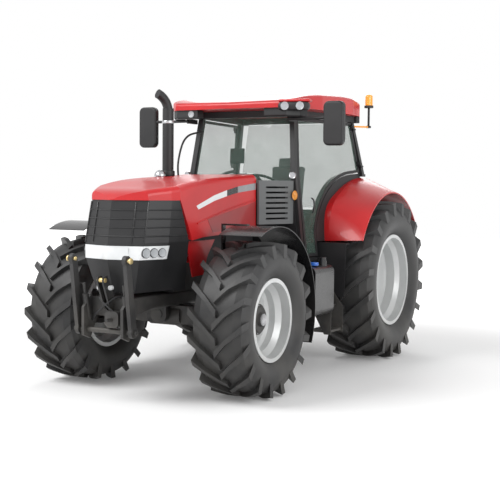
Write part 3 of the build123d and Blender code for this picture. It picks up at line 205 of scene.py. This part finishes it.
# %% Solid finishes
finishes = {
    "red_paint": coloured("red_enamel", (0.44, 0.006, 0.009), (0.52, 0.010, 0.012), 0.34, 420, 0.04,
                          coat=0.18, spread=0.05),
    "tyre_rubber": coloured("tyre_rubber", (0.020, 0.020, 0.021), (0.036, 0.036, 0.036), 0.50, 160, 0.30,
                            dust=0.06),
    "rim_silver": coloured("rim_enamel", (0.50, 0.51, 0.51), (0.58, 0.59, 0.59), 0.34, 300, 0.06,
                           metallic=0.25, coat=0.2, dust=0.10),
    "dark_casting": coloured("casting_enamel", (0.016, 0.016, 0.017), (0.034, 0.034, 0.035), 0.52, 220,
                             0.35, dust=0.20),
    "black_gloss": coloured("gloss_black", (0.006, 0.006, 0.007), (0.011, 0.011, 0.012), 0.28, 380, 0.05,
                            coat=0.2, dust=0.05),
    "black_trim": coloured("satin_black", (0.008, 0.008, 0.009), (0.015, 0.015, 0.016), 0.48, 500, 0.12),
    "grey_plastic": coloured("grained_grey", (0.10, 0.105, 0.107), (0.13, 0.134, 0.136), 0.50, 700, 0.25),
    "amber": coloured("amber_lens", (0.90, 0.30, 0.015), (0.96, 0.38, 0.03), 0.16, 200, 0.04, coat=0.8),
    "lamp_white": coloured("lamp_cover", (0.62, 0.64, 0.65), (0.74, 0.75, 0.76), 0.12, 260, 0.05,
                           coat=0.9),
}
chrome = coloured("chrome", (0.42, 0.42, 0.44), (0.58, 0.58, 0.60), 0.16, 300, 0.02, metallic=1.0,
                  spread=0.03)
bright_bolt = coloured("zinc_bolt", (0.48, 0.48, 0.47), (0.60, 0.60, 0.58), 0.34, 400, 0.10, metallic=0.9)
yellow_zinc = coloured("yellow_zinc", (0.62, 0.47, 0.20), (0.72, 0.57, 0.28), 0.34, 400, 0.08,
                       metallic=0.7)
steel = coloured("turned_steel", (0.42, 0.42, 0.43), (0.52, 0.52, 0.53), 0.28, 350, 0.06, metallic=1.0)
hose_rubber = coloured("hose_rubber", (0.016, 0.016, 0.017), (0.026, 0.026, 0.027), 0.48, 600, 0.20)
cap_blue = coloured("blue_cap", (0.02, 0.10, 0.42), (0.03, 0.13, 0.50), 0.32, 400, 0.05, coat=0.3)
stripe_white = coloured("stripe_silver", (0.70, 0.71, 0.72), (0.76, 0.77, 0.78), 0.24, 400, 0.02,
                        coat=0.6)
stripe_grey = coloured("stripe_grey", (0.20, 0.20, 0.21), (0.24, 0.24, 0.25), 0.26, 400, 0.02, coat=0.6)


# %% [markdown]
# Cab glass is thin tinted sheet. A mostly clear, glossy surface with a low alpha shows the seat and the
# far glass through it and still mirrors the sky; a slow noise varies its tint and its alpha a little. A
# lamp's lens is moulded with ribs, which a wave texture gives as colour, gloss and relief.


# %% Glass and lenses
def glass(name, tint, alpha, rough):
    """Tinted sheet glass."""
    material, tree, shader, place = start_finish(name, rough, ior=1.35)
    cloud = noise(tree, place, 3.0)
    shade = blend_colour(tree, cloud, (*tint, 1), (*[c * 0.8 for c in tint], 1))
    link(tree, shade, shader, "Base Color")
    link(tree, cloud * 0.08 + (alpha - 0.04), shader, "Alpha")
    link(tree, cloud * 0.02 + rough, shader, "Roughness")
    return material


def ribbed_lens(name, colour, pitch):
    """A lamp lens with moulded ribs."""
    material, tree, shader, place = start_finish(name, 0.10, coat=0.3)
    ribs = add_node(tree, "ShaderNodeTexWave", {"bands_direction": "DIAGONAL"},
                    {"Vector": place, "Scale": pitch, "Distortion": 0.0}, out=1)
    shade = blend_colour(tree, ribs, (*colour, 1), (*[c * 0.72 for c in colour], 1))
    link(tree, shade, shader, "Base Color")
    link(tree, ribs * 0.06 + 0.06, shader, "Roughness")
    bump(tree, shader, ribs, 0.5, 0.003)
    return material


finishes["tinted_glass"] = glass("tinted_glass", (0.16, 0.24, 0.20), 0.20, 0.02)
mirror_glass = coloured("mirror_glass", (0.66, 0.70, 0.72), (0.70, 0.74, 0.76), 0.05, 100, 0.0,
                        metallic=1.0, spread=0.02)
clear_lens = ribbed_lens("clear_lens", (0.42, 0.44, 0.46), 40.0)
amber_lens = ribbed_lens("amber_lens_ribbed", (0.86, 0.32, 0.03), 60.0)


# %% [markdown]
# Seat cloth is a plain weave. Two sets of fine waves across each other make the threads, and a slow
# noise varies the colour between them.


# %% Seat cloth
def threads(tree, place, way, count):
    """One set of the weave's threads."""
    return add_node(tree, "ShaderNodeTexWave", {"bands_direction": way}, {"Vector": place, "Scale": count},
                    out=1)


def cloth(name, low, high, count):
    """Woven cloth."""
    material, tree, shader, place = start_finish(name, 0.85)
    warp = threads(tree, place, "X", count)
    weft = threads(tree, place, "Z", count)
    weave = warp * 0.5 + weft * 0.5
    fade = noise(tree, place, 6.0)
    shade = blend_colour(tree, weave * 0.6 + fade * 0.4, (*low, 1), (*high, 1))
    link(tree, shade, shader, "Base Color")
    link(tree, weave * 0.1 + 0.78, shader, "Roughness")
    bump(tree, shader, weave, 0.6, 0.0015)
    return material


finishes["seat_fabric"] = cloth("seat_cloth", (0.10, 0.105, 0.11), (0.19, 0.195, 0.20), 260.0)

# %% [markdown]
# The CAD nodes keep their meshes and take the finish of their slot from the record. A few nodes hold
# more than one material on the real machine: those get extra pieces further down.

# %% Dress the CAD nodes
for name, node in nodes.items():
    node.data.materials.clear()
    node.data.materials.append(finishes[slot_of[name]])
print("dressed", len(nodes), "nodes")

# %% [markdown]
# Modelling helpers. Each starts a primitive at its size and place and shapes it in edit mode or with a
# bevel. The last step is the same for all: apply everything, clean the mesh and ride on a body.

# %% Finishing a piece
merge_gap = 0.00005
sharp_angle = radians(40)
edge_share = 0.12


def apply_modifiers(piece):
    """Apply a picked piece's modifiers, in their order."""
    for modifier in list(piece.modifiers):
        bpy.ops.object.modifier_apply(modifier=modifier.name)


def hand_over(piece, name, finish, body, slot, angle=35):
    """Apply what is left, clean the mesh, give the finish and ride on the body."""
    pick(piece)
    apply_modifiers(piece)
    bpy.ops.object.transform_apply(location=True, rotation=True, scale=True)
    bpy.ops.object.mode_set(mode="EDIT")
    bpy.ops.mesh.select_all(action="SELECT")
    bpy.ops.mesh.remove_doubles(threshold=merge_gap)
    bpy.ops.mesh.normals_make_consistent(inside=False)
    bpy.ops.object.mode_set(mode="OBJECT")
    bpy.ops.object.shade_smooth_by_angle(angle=radians(angle))
    piece.name = name
    piece.data.name = name
    piece.data.materials.clear()
    piece.data.materials.append(finish)
    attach(piece, body)
    clear()
    print("made", name, "on", body)


def soften(piece, width):
    """Round the sharp edges by a width."""
    bevel = piece.modifiers.new("soft", "BEVEL")
    bevel.width = width
    bevel.segments = 2
    bevel.limit_method = "ANGLE"
    bevel.angle_limit = sharp_angle
    return piece


def join(pieces):
    """Make one piece of several."""
    for piece in pieces:
        pick(piece)
        apply_modifiers(piece)
    pick(*pieces)
    bpy.ops.object.join()
    return bpy.context.view_layer.objects.active


def turned(along):
    """The rotation that takes a primitive's own Z to a direction."""
    return Vector(along).to_track_quat("Z", "Y").to_euler()


def disc(at, along, r, depth, verts=40, dish=0.0, rim=0.0):
    """A round body centred at a point; dish sinks its far face inside a rim."""
    clear()
    bpy.ops.mesh.primitive_cylinder_add(vertices=verts, radius=r, depth=depth, location=at,
                                        rotation=turned(along))
    piece = bpy.context.object
    if rim:
        bpy.ops.object.mode_set(mode="EDIT")
        bpy.ops.mesh.select_all(action="DESELECT")
        bpy.ops.object.mode_set(mode="OBJECT")
        for face in piece.data.polygons:
            face.select = face.normal.z > 0.9
        bpy.ops.object.mode_set(mode="EDIT")
        bpy.ops.mesh.inset(thickness=rim, depth=-dish)
        bpy.ops.object.mode_set(mode="OBJECT")
    return soften(piece, min(r, depth) * edge_share)


def rod(a, b, r):
    """A round bar between two points."""
    a, b = Vector(a), Vector(b)
    return disc((a + b) / 2, b - a, r, (b - a).length, verts=20)


def slab(at, size, soft, turn=(0, 0, 0)):
    """A box with rounded edges."""
    clear()
    bpy.ops.mesh.primitive_cube_add(size=1, location=at, rotation=turn)
    piece = bpy.context.object
    piece.scale = size
    bpy.ops.object.transform_apply(location=False, rotation=False, scale=True)
    return soften(piece, soft)


def pipe(points, r, smooth=True, sides=6):
    """A tube along points."""
    clear()
    bpy.ops.curve.primitive_nurbs_path_add()
    piece = bpy.context.object
    curve = piece.data
    curve.splines.clear()
    spline = curve.splines.new("NURBS" if smooth else "POLY")
    spline.points.add(len(points) - 1)
    for point, place in zip(spline.points, points):
        point.co = (*place, 1)
    if smooth:
        spline.order_u = 3
        spline.use_endpoint_u = True
    piece.location = (0, 0, 0)
    piece.rotation_euler = (0, 0, 0)
    curve.resolution_u = 8
    curve.bevel_depth = r
    curve.bevel_resolution = sides
    curve.use_fill_caps = True
    pick(piece)
    bpy.ops.object.convert(target="MESH")
    return bpy.context.object


def plate(steps, place_of, thickness):
    """A thin sheet: place_of takes each point of a unit grid to its place."""
    clear()
    bpy.ops.mesh.primitive_grid_add(x_subdivisions=steps, y_subdivisions=1, size=1)
    piece = bpy.context.object
    for vertex in piece.data.vertices:
        vertex.co = place_of(vertex.co.x, vertex.co.y)
    skin = piece.modifiers.new("thick", "SOLIDIFY")
    skin.thickness = thickness
    skin.offset = 0
    return piece


def copies(piece, moves):
    """The piece and its copies under the given matrices, made one."""
    made = []
    bpy.context.view_layer.update()
    for move in moves:
        copy = piece.copy()
        copy.data = piece.data.copy()
        bpy.context.collection.objects.link(copy)
        copy.matrix_world = move @ piece.matrix_world
        made.append(copy)
    bpy.data.objects.remove(piece)
    return join(made)


def about_axle(centre, count, start):
    """Turns about a line along X through a point."""
    there = Matrix.Translation(Vector(centre))
    back = there.inverted()
    return [there @ Matrix.Rotation(start + 2 * pi * k / count, 4, "X") @ back for k in range(count)]


def both_sides(make, name, finish, body, slot):
    """Make a piece on the left and its mirror image on the right; {} in a body stands for the side."""
    for side, word in ((1, "left"), (-1, "right")):
        hand_over(make(side), name + "_" + word, finish, body.format(word), slot)


# %% [markdown]
# Wheels. The CAD rim and hub are plain turned forms. A ring of nuts holds each disc to its hub, and a
# stepped cover with small bolts closes the front hub. One nut is modelled and turned about the axle.

# %% Wheel nuts
rear_centre = (1.040, 1.500, 0.930)
front_centre = (0.960, -1.384, 0.750)
rear_face = rear_centre[0] - 0.070
front_face = front_centre[0] + 0.020
nut_sink = 0.001


def nuts(centre, face, circle, r, tall):
    """Makes a ring of nuts on a disc's outer face, for one side."""
    y, z = centre[1:]

    def make(side):
        at = (side * (face + tall / 2 - nut_sink), y, z + circle)
        nut = disc(at, (side, 0, 0), r, tall, verts=6)
        return copies(nut, about_axle((0, y, z), count=10, start=0.2))
    return make


both_sides(nuts(rear_centre, rear_face, circle=0.135, r=0.020, tall=0.026), "rear_nuts", bright_bolt,
           "rear_wheel_{}", "rim_silver")
both_sides(nuts(front_centre, front_face, circle=0.170, r=0.017, tall=0.024), "front_nuts", bright_bolt,
           "front_wheel_{}", "rim_silver")


def hub_cover(side):
    """The front hub's end cover: a low dished disc, and a ring of small bolts behind it."""
    x, y, z = front_centre
    dome = disc((side * (x + 0.120), y, z), (side, 0, 0), 0.058, 0.020, verts=48, dish=0.006, rim=0.014)
    bolt = disc((side * (x + 0.075), y, z + 0.132), (side, 0, 0), 0.010, 0.016, verts=6)
    ring = copies(bolt, about_axle((0, y, z), count=9, start=0.1))
    return join([dome, ring])


both_sides(hub_cover, "hub_cover", steel, "front_wheel_{}", "dark_casting")


# %% [markdown]
# The nose. The black grille is crossed by thin level bars and upright posts. The bars stand a few
# millimetres proud of the CAD skin and follow its outline at their own height, so the rows below repeat
# the CAD loft's plan. A row holds a height, the front's y at the middle, and then x and y at the front
# corner, at the side corner and at the rear edge.

# %% Grille bars
nose_rows = (
    (1.030, -2.320, 0.215, -2.285, 0.268, -1.960, 0.392, -1.700),
    (1.340, -2.425, 0.300, -2.345, 0.398, -2.080, 0.425, -1.715),
    (1.500, -2.415, 0.330, -2.310, 0.440, -2.060, 0.462, -1.745),
    (1.8898, -2.352, 0.325, -2.215, 0.440, -2.010, 0.478, -1.930),
)
bar_heights = (1.560, 1.640, 1.720, 1.800)
front_share = 0.7
post_low, post_high = 1.50, 1.87
inner_post = 0.66


def nose_at(z):
    """The nose's front point, front corner, side corner and rear edge at a height."""
    for low, high in zip(nose_rows, nose_rows[1:]):
        if z <= high[0]:
            share = (z - low[0]) / (high[0] - low[0])
            row = [a + (b - a) * share for a, b in zip(low, high)]
            break
    return [(0, row[1]), (row[2], row[3]), (row[4], row[5]), (row[6], row[7])]


def nose_line(z, proud):
    """Points round the nose at a height, proud of its skin to the sides and a little less in front."""
    right = [(x + proud * (x > 0), y - proud * front_share) for x, y in nose_at(z)]
    left = [(-x, y) for x, y in reversed(right[1:])]
    return [(x, y, z) for x, y in left + right]


def front_at(share, z, proud):
    """A point on the nose's front, a share of the way from its middle to its corner."""
    middle, corner = nose_at(z)[:2]
    return share * corner[0], middle[1] + (corner[1] - middle[1]) * abs(share) - proud, z


bars = [pipe(nose_line(z, 0.002), 0.006, smooth=False, sides=2) for z in bar_heights]
hand_over(join(bars), "grille_bars", finishes["black_trim"], "bonnet", "black_trim")
posts = [rod(front_at(share, post_low, 0.003), front_at(share, post_high, 0.003), 0.006)
         for share in (-inner_post, inner_post)]
for side in (-1, 1):
    low, high = nose_at(post_low)[1], nose_at(post_high)[1]
    foot = (side * low[0], low[1] - 0.002, post_low - 0.01)
    head = (side * high[0], high[1] - 0.002, post_high + 0.005)
    posts.append(rod(foot, head, 0.008))
hand_over(join(posts), "grille_posts", finishes["black_gloss"], "bonnet", "black_trim")


# %% [markdown]
# The lamp band wraps round the nose. Its middle is a blank pale plate, and three round lamps sit in a
# row on each flank: a clear ribbed lens in a gloss black bezel. One part is made for all three lamps of
# a side at once, because they share a finish.

# %% Lamps in the band
plate_z = 1.405
plate_width, plate_height = 0.40, 0.104
lamp_z = 1.407
lamp_places = ((0.18, 0.042), (0.50, 0.040), (0.82, 0.038))


def band_place(u, v):
    """A point of the blank plate between the lamps, bent to the nose's front."""
    centre, corner = nose_at(plate_z)[:2]
    x = u * plate_width
    y = centre[1] + (corner[1] - centre[1]) * abs(x) / corner[0] - 0.008
    return x, y, plate_z + v * plate_height


band_plate = plate(8, band_place, 0.005)
hand_over(band_plate, "band_plate", finishes["lamp_white"], "bonnet", "lamp_white")


def on_flank(side, share, z):
    """A point on the nose's flank and the way that it faces."""
    a, b = (Vector((*corner, 0)) for corner in nose_at(z)[1:3])
    spot = a + (b - a) * share
    run = (b - a).normalized()
    face = Vector((-run.y, run.x, 0))
    if face.x < 0:
        face.negate()
    return Vector((side * spot.x, spot.y, z)), Vector((side * face.x, face.y, 0))


def lamp_part(wider, depth, proud, rim, dish):
    """Makes one kind of part for all lamps on one side."""
    def make(side):
        parts = []
        for share, r in lamp_places:
            spot, face = on_flank(side, share, lamp_z)
            parts.append(disc(spot + face * proud, face, r * wider, depth, dish=dish, rim=rim))
        return join(parts)
    return make


bezel = lamp_part(wider=1.12, depth=0.016, proud=0.008, rim=0.008, dish=0.004)
lens = lamp_part(wider=1.0, depth=0.012, proud=0.013, rim=0.006, dish=0.003)
both_sides(bezel, "lamp_bezel", finishes["black_gloss"], "bonnet", "lamp_white")
both_sides(lens, "lamp_lens", clear_lens, "bonnet", "lamp_white")


# %% [markdown]
# The bonnet's sides. A long blank stripe runs along each in silver, black and grey. Each field is a thin
# plate that follows the side of the bonnet between a slanting upper and lower edge. Below the stripe lies
# a recess, drawn flat as a field of darker red whose darkness is painted shade, and a rounded crease runs
# over it back to the cab.

# %% Bonnet stripes
hood_plan = ((-2.226, 0.322), (-2.018, 0.441), (-1.925, 0.480), (-0.425, 0.480))
# The recess field's darker red is painted shade: the plate lies flat on the bonnet, and its colour stands
# in for the shade that falls in the recess.
painted_shade_red = coloured("red_painted_recess_shade", (0.25, 0.005, 0.007), (0.31, 0.008, 0.009), 0.34, 420, 0.04, coat=0.3)
side_fields = (
    ("stripe_silver",
     ((-1.640, 1.835), (-1.300, 1.935), (-1.050, 1.985)),
     ((-1.600, 1.800), (-1.300, 1.880), (-1.050, 1.925)),
     0.0012, stripe_white, "black_trim"),
    ("stripe_black",
     ((-1.046, 1.986), (-0.830, 2.022)),
     ((-1.046, 1.926), (-0.830, 1.958)),
     0.0012, finishes["black_gloss"], "black_trim"),
    ("stripe_grey",
     ((-0.826, 2.023), (-0.440, 2.060)),
     ((-0.826, 1.959), (-0.440, 1.990)),
     0.0012, stripe_grey, "black_trim"),
    # Painted shade: a flat plate in darker red where the bonnet's side is recessed.
    ("side_recess",
     ((-1.430, 1.700), (-0.445, 1.862)),
     ((-1.330, 1.570), (-0.445, 1.600)),
     0.0008, painted_shade_red, "red_paint"),
)
crease_line = ((-1.620, 1.665), (-1.430, 1.715), (-0.900, 1.815), (-0.440, 1.885))


def between(table, at):
    """A value worked out along a table of pairs."""
    for (a, low), (b, high) in zip(table, table[1:]):
        if at <= b:
            return low + (high - low) * (at - a) / (b - a)
    return table[-1][1]


def side_field(upper, lower, proud):
    """Makes a plate on the bonnet's side between two edges, each given as (y, z) points."""
    def make(side):
        def place_of(u, v):
            edge = upper if v > 0 else lower
            y = edge[0][0] + (edge[-1][0] - edge[0][0]) * (u + 0.5)
            return side * (between(hood_plan, y) + proud), y, between(edge, y)
        return plate(12, place_of, 0.002)
    return make


def side_crease(side):
    """The rounded crease along the bonnet's side."""
    return pipe([(side * (between(hood_plan, y) + 0.001), y, z) for y, z in crease_line], 0.008)


for name, upper, lower, proud, finish, slot in side_fields:
    both_sides(side_field(upper, lower, proud), name, finish, "bonnet", slot)
both_sides(side_crease, "side_crease", finishes["red_paint"], "bonnet", "red_paint")


# %% [markdown]
# Beside the exhaust stack, the air intake ends in a bright ball on a black neck. The stack gets a black
# collar at its foot and a bright clamp higher up, and a black hand rail bends up to the cab.

# %% Exhaust trim and rail
stack_x, stack_y = -0.390, -0.800
intake_y = -0.952
clear()
bpy.ops.mesh.primitive_uv_sphere_add(segments=48, ring_count=24, radius=0.062,
                                     location=(stack_x, intake_y, 2.128))
hand_over(bpy.context.object, "intake_ball", chrome, "chassis", "black_trim")
intake_neck = rod((stack_x, intake_y, 1.930), (stack_x, intake_y, 2.090), 0.034)
hand_over(intake_neck, "intake_neck", finishes["black_trim"], "chassis", "black_trim")
rail_points = [(-0.400, -0.560, 2.060), (-0.400, -0.600, 2.200), (-0.410, -0.540, 2.380),
               (-0.440, -0.400, 2.540), (-0.480, -0.153, 2.620), (-0.520, 0.140, 2.640)]
hand_over(pipe(rail_points, 0.011), "hand_rail", finishes["black_trim"], "chassis", "black_trim")
exhaust_collar = disc((stack_x, stack_y, 2.150), (0, 0, 1), 0.074, 0.070, verts=48)
hand_over(exhaust_collar, "exhaust_collar", finishes["black_trim"], "chassis", "black_trim")
exhaust_clamp = disc((stack_x, stack_y, 2.700), (0, 0, 1), 0.066, 0.030, verts=48)
hand_over(exhaust_clamp, "exhaust_clamp", steel, "chassis", "black_trim")


# %% [markdown]
# Work lamps. One small round lamp faces forward under the roof on the right, and one faces back at each
# rear corner. The front left corner has a black pod with two round lamps and a red cap over it. Each
# lens is a shallow dish inside a rim.

# %% Work lamps
pod_turn = (0, 0, radians(14))
front_work_lamp = disc((-0.500, -0.154, 2.826), (0, -1, 0), 0.036, 0.020, rim=0.006, dish=0.004)
hand_over(front_work_lamp, "front_work_lamp", clear_lens, "chassis", "lamp_white")


def rear_work_lamp(side):
    return disc((side * 0.760, 1.598, 2.834), (0, 1, 0), 0.030, 0.016, rim=0.005, dish=0.003)


both_sides(rear_work_lamp, "rear_work_lamp", clear_lens, "chassis", "lamp_white")

roof_pod = slab((0.760, -0.105, 2.885), (0.340, 0.130, 0.095), 0.036, pod_turn)
hand_over(roof_pod, "roof_pod", finishes["black_trim"], "chassis", "black_trim")
pod_cap = slab((0.765, -0.085, 2.944), (0.350, 0.150, 0.028), 0.013, pod_turn)
hand_over(pod_cap, "pod_cap", finishes["red_paint"], "chassis", "red_paint")
pod_lenses = [disc((x, y, 2.884), (0.24, -1, 0), 0.044, 0.020, rim=0.006, dish=0.004)
              for x, y in ((0.690, -0.190), (0.850, -0.150))]
hand_over(join(pod_lenses), "pod_lenses", clear_lens, "chassis", "lamp_white")


# %% [markdown]
# Mirrors: the CAD gives the housing; the glass is a thin silvered plate set in its rear face.


# %% Mirror glass
def mirror_pane(side):
    return slab((side * 1.180, 0.0355, 2.700), (0.200, 0.004, 0.430), 0.002)


both_sides(mirror_pane, "mirror_pane", mirror_glass, "chassis", "black_trim")


# %% [markdown]
# Beacon: the CAD node holds lens, base and pole in one. The base and pole are black on the real one, so
# a black sleeve covers each of them, and the pole stands on a small black foot.

# %% Beacon base and pole
beacon_x, beacon_y = 0.900, 1.665
pole = disc((beacon_x, beacon_y, 2.862), (0, 0, 1), 0.0135, 0.236, verts=24)
base = disc((beacon_x, beacon_y, 2.994), (0, 0, 1), 0.0545, 0.030, verts=48)
foot = slab((beacon_x, beacon_y, 2.752), (0.050, 0.050, 0.028), 0.006)
hand_over(join([pole, base, foot]), "beacon_base", finishes["black_trim"], "chassis", "black_trim")


# %% [markdown]
# Lamps beside the front post: a round bright one above and an oval amber one below it.


# %% Post lamps
def post_lamp(side):
    return disc((side * 0.672, 0.060, 2.150), (side * 0.3, -1, 0), 0.038, 0.044, rim=0.006, dish=0.005)


both_sides(post_lamp, "post_lamp", chrome, "chassis", "lamp_white")


def oval_lamp(side):
    lamp = disc((side * 0.690, 0.080, 1.930), (side * 0.5, -1, 0), 0.030, 0.030, rim=0.005, dish=0.004)
    lamp.scale.y = 1.7
    return lamp


both_sides(oval_lamp, "oval_lamp", amber_lens, "chassis", "amber")


# %% [markdown]
# The seat. A suspension seat has a cushion, a back and a headrest, each a cloth cover over foam. A block
# is shaped roughly, remeshed evenly and blown up with a short cloth simulation, so that the cover pulls
# tight over its edges. A cap holds every point near its start, and one subdivision rounds the result.
# The CAD pads give way to the three pieces.

# %% Seat pads
voxel = 0.012
air_pressure = 4.0
air_steps = 14
seat_tilt = radians(-9)


def cushion(name, at, size, tilt, cap):
    """A padded block, blown up by cloth and held within a cap."""
    block = slab(at, size, min(size) * 0.28, (tilt, 0, 0))
    pick(block)
    apply_modifiers(block)
    bpy.ops.object.transform_apply(location=True, rotation=True, scale=True)
    remesh = block.modifiers.new("even", "REMESH")
    remesh.mode = "VOXEL"
    remesh.voxel_size = voxel
    bpy.ops.object.modifier_apply(modifier="even")
    start = [v.co.copy() for v in block.data.vertices]
    air = block.modifiers.new("air", "CLOTH")
    air.settings.use_pressure = True
    air.settings.uniform_pressure_force = air_pressure
    air.settings.effector_weights.gravity = 0.0
    air.point_cache.frame_start = 1
    air.point_cache.frame_end = air_steps
    for step in range(1, air_steps + 1):
        bpy.context.scene.frame_set(step)
    bpy.ops.object.modifier_apply(modifier="air")
    bpy.context.scene.frame_set(1)
    for vertex, home in zip(block.data.vertices, start):
        move = vertex.co - home
        if move.length > cap:
            vertex.co = home + move.normalized() * cap
    round_off = block.modifiers.new("round", "SUBSURF")
    round_off.levels = 1
    round_off.render_levels = 1
    hand_over(block, name, finishes["seat_fabric"], "chassis", "seat_fabric", angle=60)
    return block


seat_base = cushion("seat_base", (0, 1.070, 1.714), (0.460, 0.440, 0.105), 0, 0.012)
cushion("seat_back", (0, 1.285, 2.020), (0.440, 0.090, 0.520), seat_tilt, 0.012)
cushion("head_rest", (0, 1.325, 2.310), (0.260, 0.070, 0.120), seat_tilt, 0.008)
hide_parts("seat_pads")


# %% [markdown]
# The monitor on its arm beside the dash, the blue fuel cap, and a bowed handle on each door, which
# turns with the door.

# %% Cab and tank details
screen = slab((-0.300, 0.560, 2.380), (0.170, 0.030, 0.180), 0.010, (radians(-12), 0, radians(20)))
arm = rod((-0.300, 0.580, 2.300), (-0.390, 0.640, 1.850), 0.012)
hand_over(join([screen, arm]), "monitor", finishes["black_trim"], "chassis", "black_trim")
fuel_cap = disc((1.085, -0.240, 1.216), (0, 0, 1), 0.044, 0.036, verts=24, rim=0.008, dish=0.004)
hand_over(fuel_cap, "fuel_cap", cap_blue, "chassis", "black_gloss")
handle_y = 0.250
handle_line = ((0.812, 1.900), (0.840, 1.890), (0.848, 1.820), (0.840, 1.750), (0.822, 1.740))


def door_handle(side):
    return pipe([(side * x, handle_y, z) for x, z in handle_line], 0.009)


both_sides(door_handle, "door_handle", finishes["black_gloss"], "door_{}", "black_trim")


# %% [markdown]
# Front linkage: yellow zinc pins through the arms' tips, two hydraulic hoses that cross between them,
# a lift ram on each side, a pair of pale couplers and a yellow ring above them.

# %% Linkage pins and hoses
tip_y, tip_z = -2.544, 1.350
ram_x = 0.225
coupler_x = 0.064
hose_line = ((0.080, -2.300, 0.990), (0.120, -2.420, 1.020), (0, -2.455, 0.930), (-0.150, -2.430, 0.820),
             (-0.215, -2.350, 0.760))


def tip_pin(side):
    bar = rod((side * 0.262, tip_y, tip_z), (side * 0.344, tip_y, tip_z), 0.0182)
    head = disc((side * 0.350, tip_y, tip_z), (side, 0, 0), 0.028, 0.014)
    return join([bar, head])


both_sides(tip_pin, "tip_pin", yellow_zinc, "front_links", "dark_casting")
hoses = [pipe([(side * x, y, z) for x, y, z in hose_line], 0.009) for side in (-1, 1)]
hand_over(join(hoses), "front_hoses", hose_rubber, "chassis", "dark_casting")
for side, word in ((-1, "right"), (1, "left")):
    x = side * ram_x
    barrel = rod((x, -2.405, 0.780), (x, -2.455, 1.020), 0.030)
    piston = rod((x, -2.455, 1.015), (x, -2.475, 1.120), 0.016)
    ram = join([barrel, piston])
    hand_over(ram, "lift_ram_" + word, finishes["dark_casting"], "chassis", "dark_casting")
couplers = [disc((x, -2.452, 1.089), (0, -1, 0), 0.022, 0.036, verts=24, rim=0.005, dish=0.006)
            for x in (-coupler_x, coupler_x)]
hand_over(join(couplers), "front_couplers", stripe_white, "chassis", "dark_casting")
top_ring = disc((0, -2.505, 1.160), (1, 0, 0), 0.022, 0.090, verts=24)
hand_over(top_ring, "top_ring", yellow_zinc, "chassis", "dark_casting")

# %% [markdown]
# The stage: a pale floor that goes over into a white background. The world is white to the camera and
# softer as a light, so the background stays clean without washing out the paint.

# %% Floor, light and world
floor_drop = 0.0005
floor_grey = (0.86, 0.86, 0.86, 1)
floor_glow = (0.10, 0.10, 0.10, 1)
glow_edge, glow_soft = 6.0, 2.6
plain_white = (1, 1, 1, 1)
sky_strength = 0.52
clear()
bpy.ops.mesh.primitive_plane_add(size=60, location=(0, 0, -floor_drop))
floor = bpy.context.object
floor.name = "floor"
floor_finish, tree, shader, place = start_finish("pale_floor", 0.9)
shader.inputs["Base Color"].default_value = floor_grey
shader.inputs["Emission Strength"].default_value = 1.0
reach = add_node(tree, "ShaderNodeVectorMath", {"operation": "LENGTH"}, {0: place}, out=1)
glow = reach.above(glow_edge, glow_soft)
link(tree, blend_colour(tree, glow, floor_glow, plain_white), shader, "Emission Color")
floor.data.materials.append(floor_finish)

world = bpy.data.worlds.new("studio")
bpy.context.scene.world = world
world.use_nodes = True
sky = world.node_tree
for node in list(sky.nodes):
    sky.nodes.remove(node)
path = sky.nodes.new("ShaderNodeLightPath")
camera_ray, glossy_ray, clear_ray = (
    Wire(sky, path.outputs["Is " + kind + " Ray"]) for kind in ("Camera", "Glossy", "Transmission"))
seen = camera_ray.math("MAXIMUM", glossy_ray).math("MAXIMUM", clear_ray)
light = add_node(sky, "ShaderNodeBackground", {}, {"Color": plain_white, "Strength": sky_strength})
white = add_node(sky, "ShaderNodeBackground", {}, {"Color": plain_white, "Strength": 1.0})
mix = add_node(sky, "ShaderNodeMixShader", {}, {0: seen, 1: light, 2: white})
out = sky.nodes.new("ShaderNodeOutputWorld")
sky.links.new(mix.socket, out.inputs[0])


def soft_box(name, at, aim, size, power):
    """A square area lamp aimed at a point."""
    lamp = bpy.data.lights.new(name, "AREA")
    lamp.shape = "SQUARE"
    lamp.size = size
    lamp.energy = power
    holder = bpy.data.objects.new(name, lamp)
    bpy.context.collection.objects.link(holder)
    holder.location = at
    holder.rotation_euler = (Vector(aim) - Vector(at)).to_track_quat("-Z", "Y").to_euler()


soft_box("key", (-3.5, -6.5, 7.5), aim=(0, 0, 1), size=4.5, power=620)
soft_box("fill", (8.0, -3.0, 4.5), aim=(0, 0, 1), size=5.0, power=320)
soft_box("back", (-3.0, 8.0, 6.0), aim=(0, 0, 1.5), size=5.0, power=260)

# %% [markdown]
# The camera stands where the photograph's did: worked out from the wheels' outlines and the wheelbase,
# a long lens at about the bonnet's height.

# %% Camera
photo_width = 500
focal_pixels = 1039.6
sensor = 36
camera_place = Matrix.Translation((5.68, -10.17, 2.04))
yaw, dip, roll = radians(29.22), radians(3.48), radians(0.47)
camera = bpy.data.cameras.new("camera")
camera.lens = focal_pixels / photo_width * sensor
camera.sensor_width = sensor
camera.shift_x = 0.030
camera.shift_y = -0.004
holder = bpy.data.objects.new("camera", camera)
bpy.context.collection.objects.link(holder)
holder.matrix_world = (camera_place @ Matrix.Rotation(yaw, 4, "Z") @ Matrix.Rotation(pi / 2 - dip, 4, "X")
                       @ Matrix.Rotation(roll, 4, "Z"))
bpy.context.scene.camera = holder
bpy.context.scene.view_settings.view_transform = "Standard"
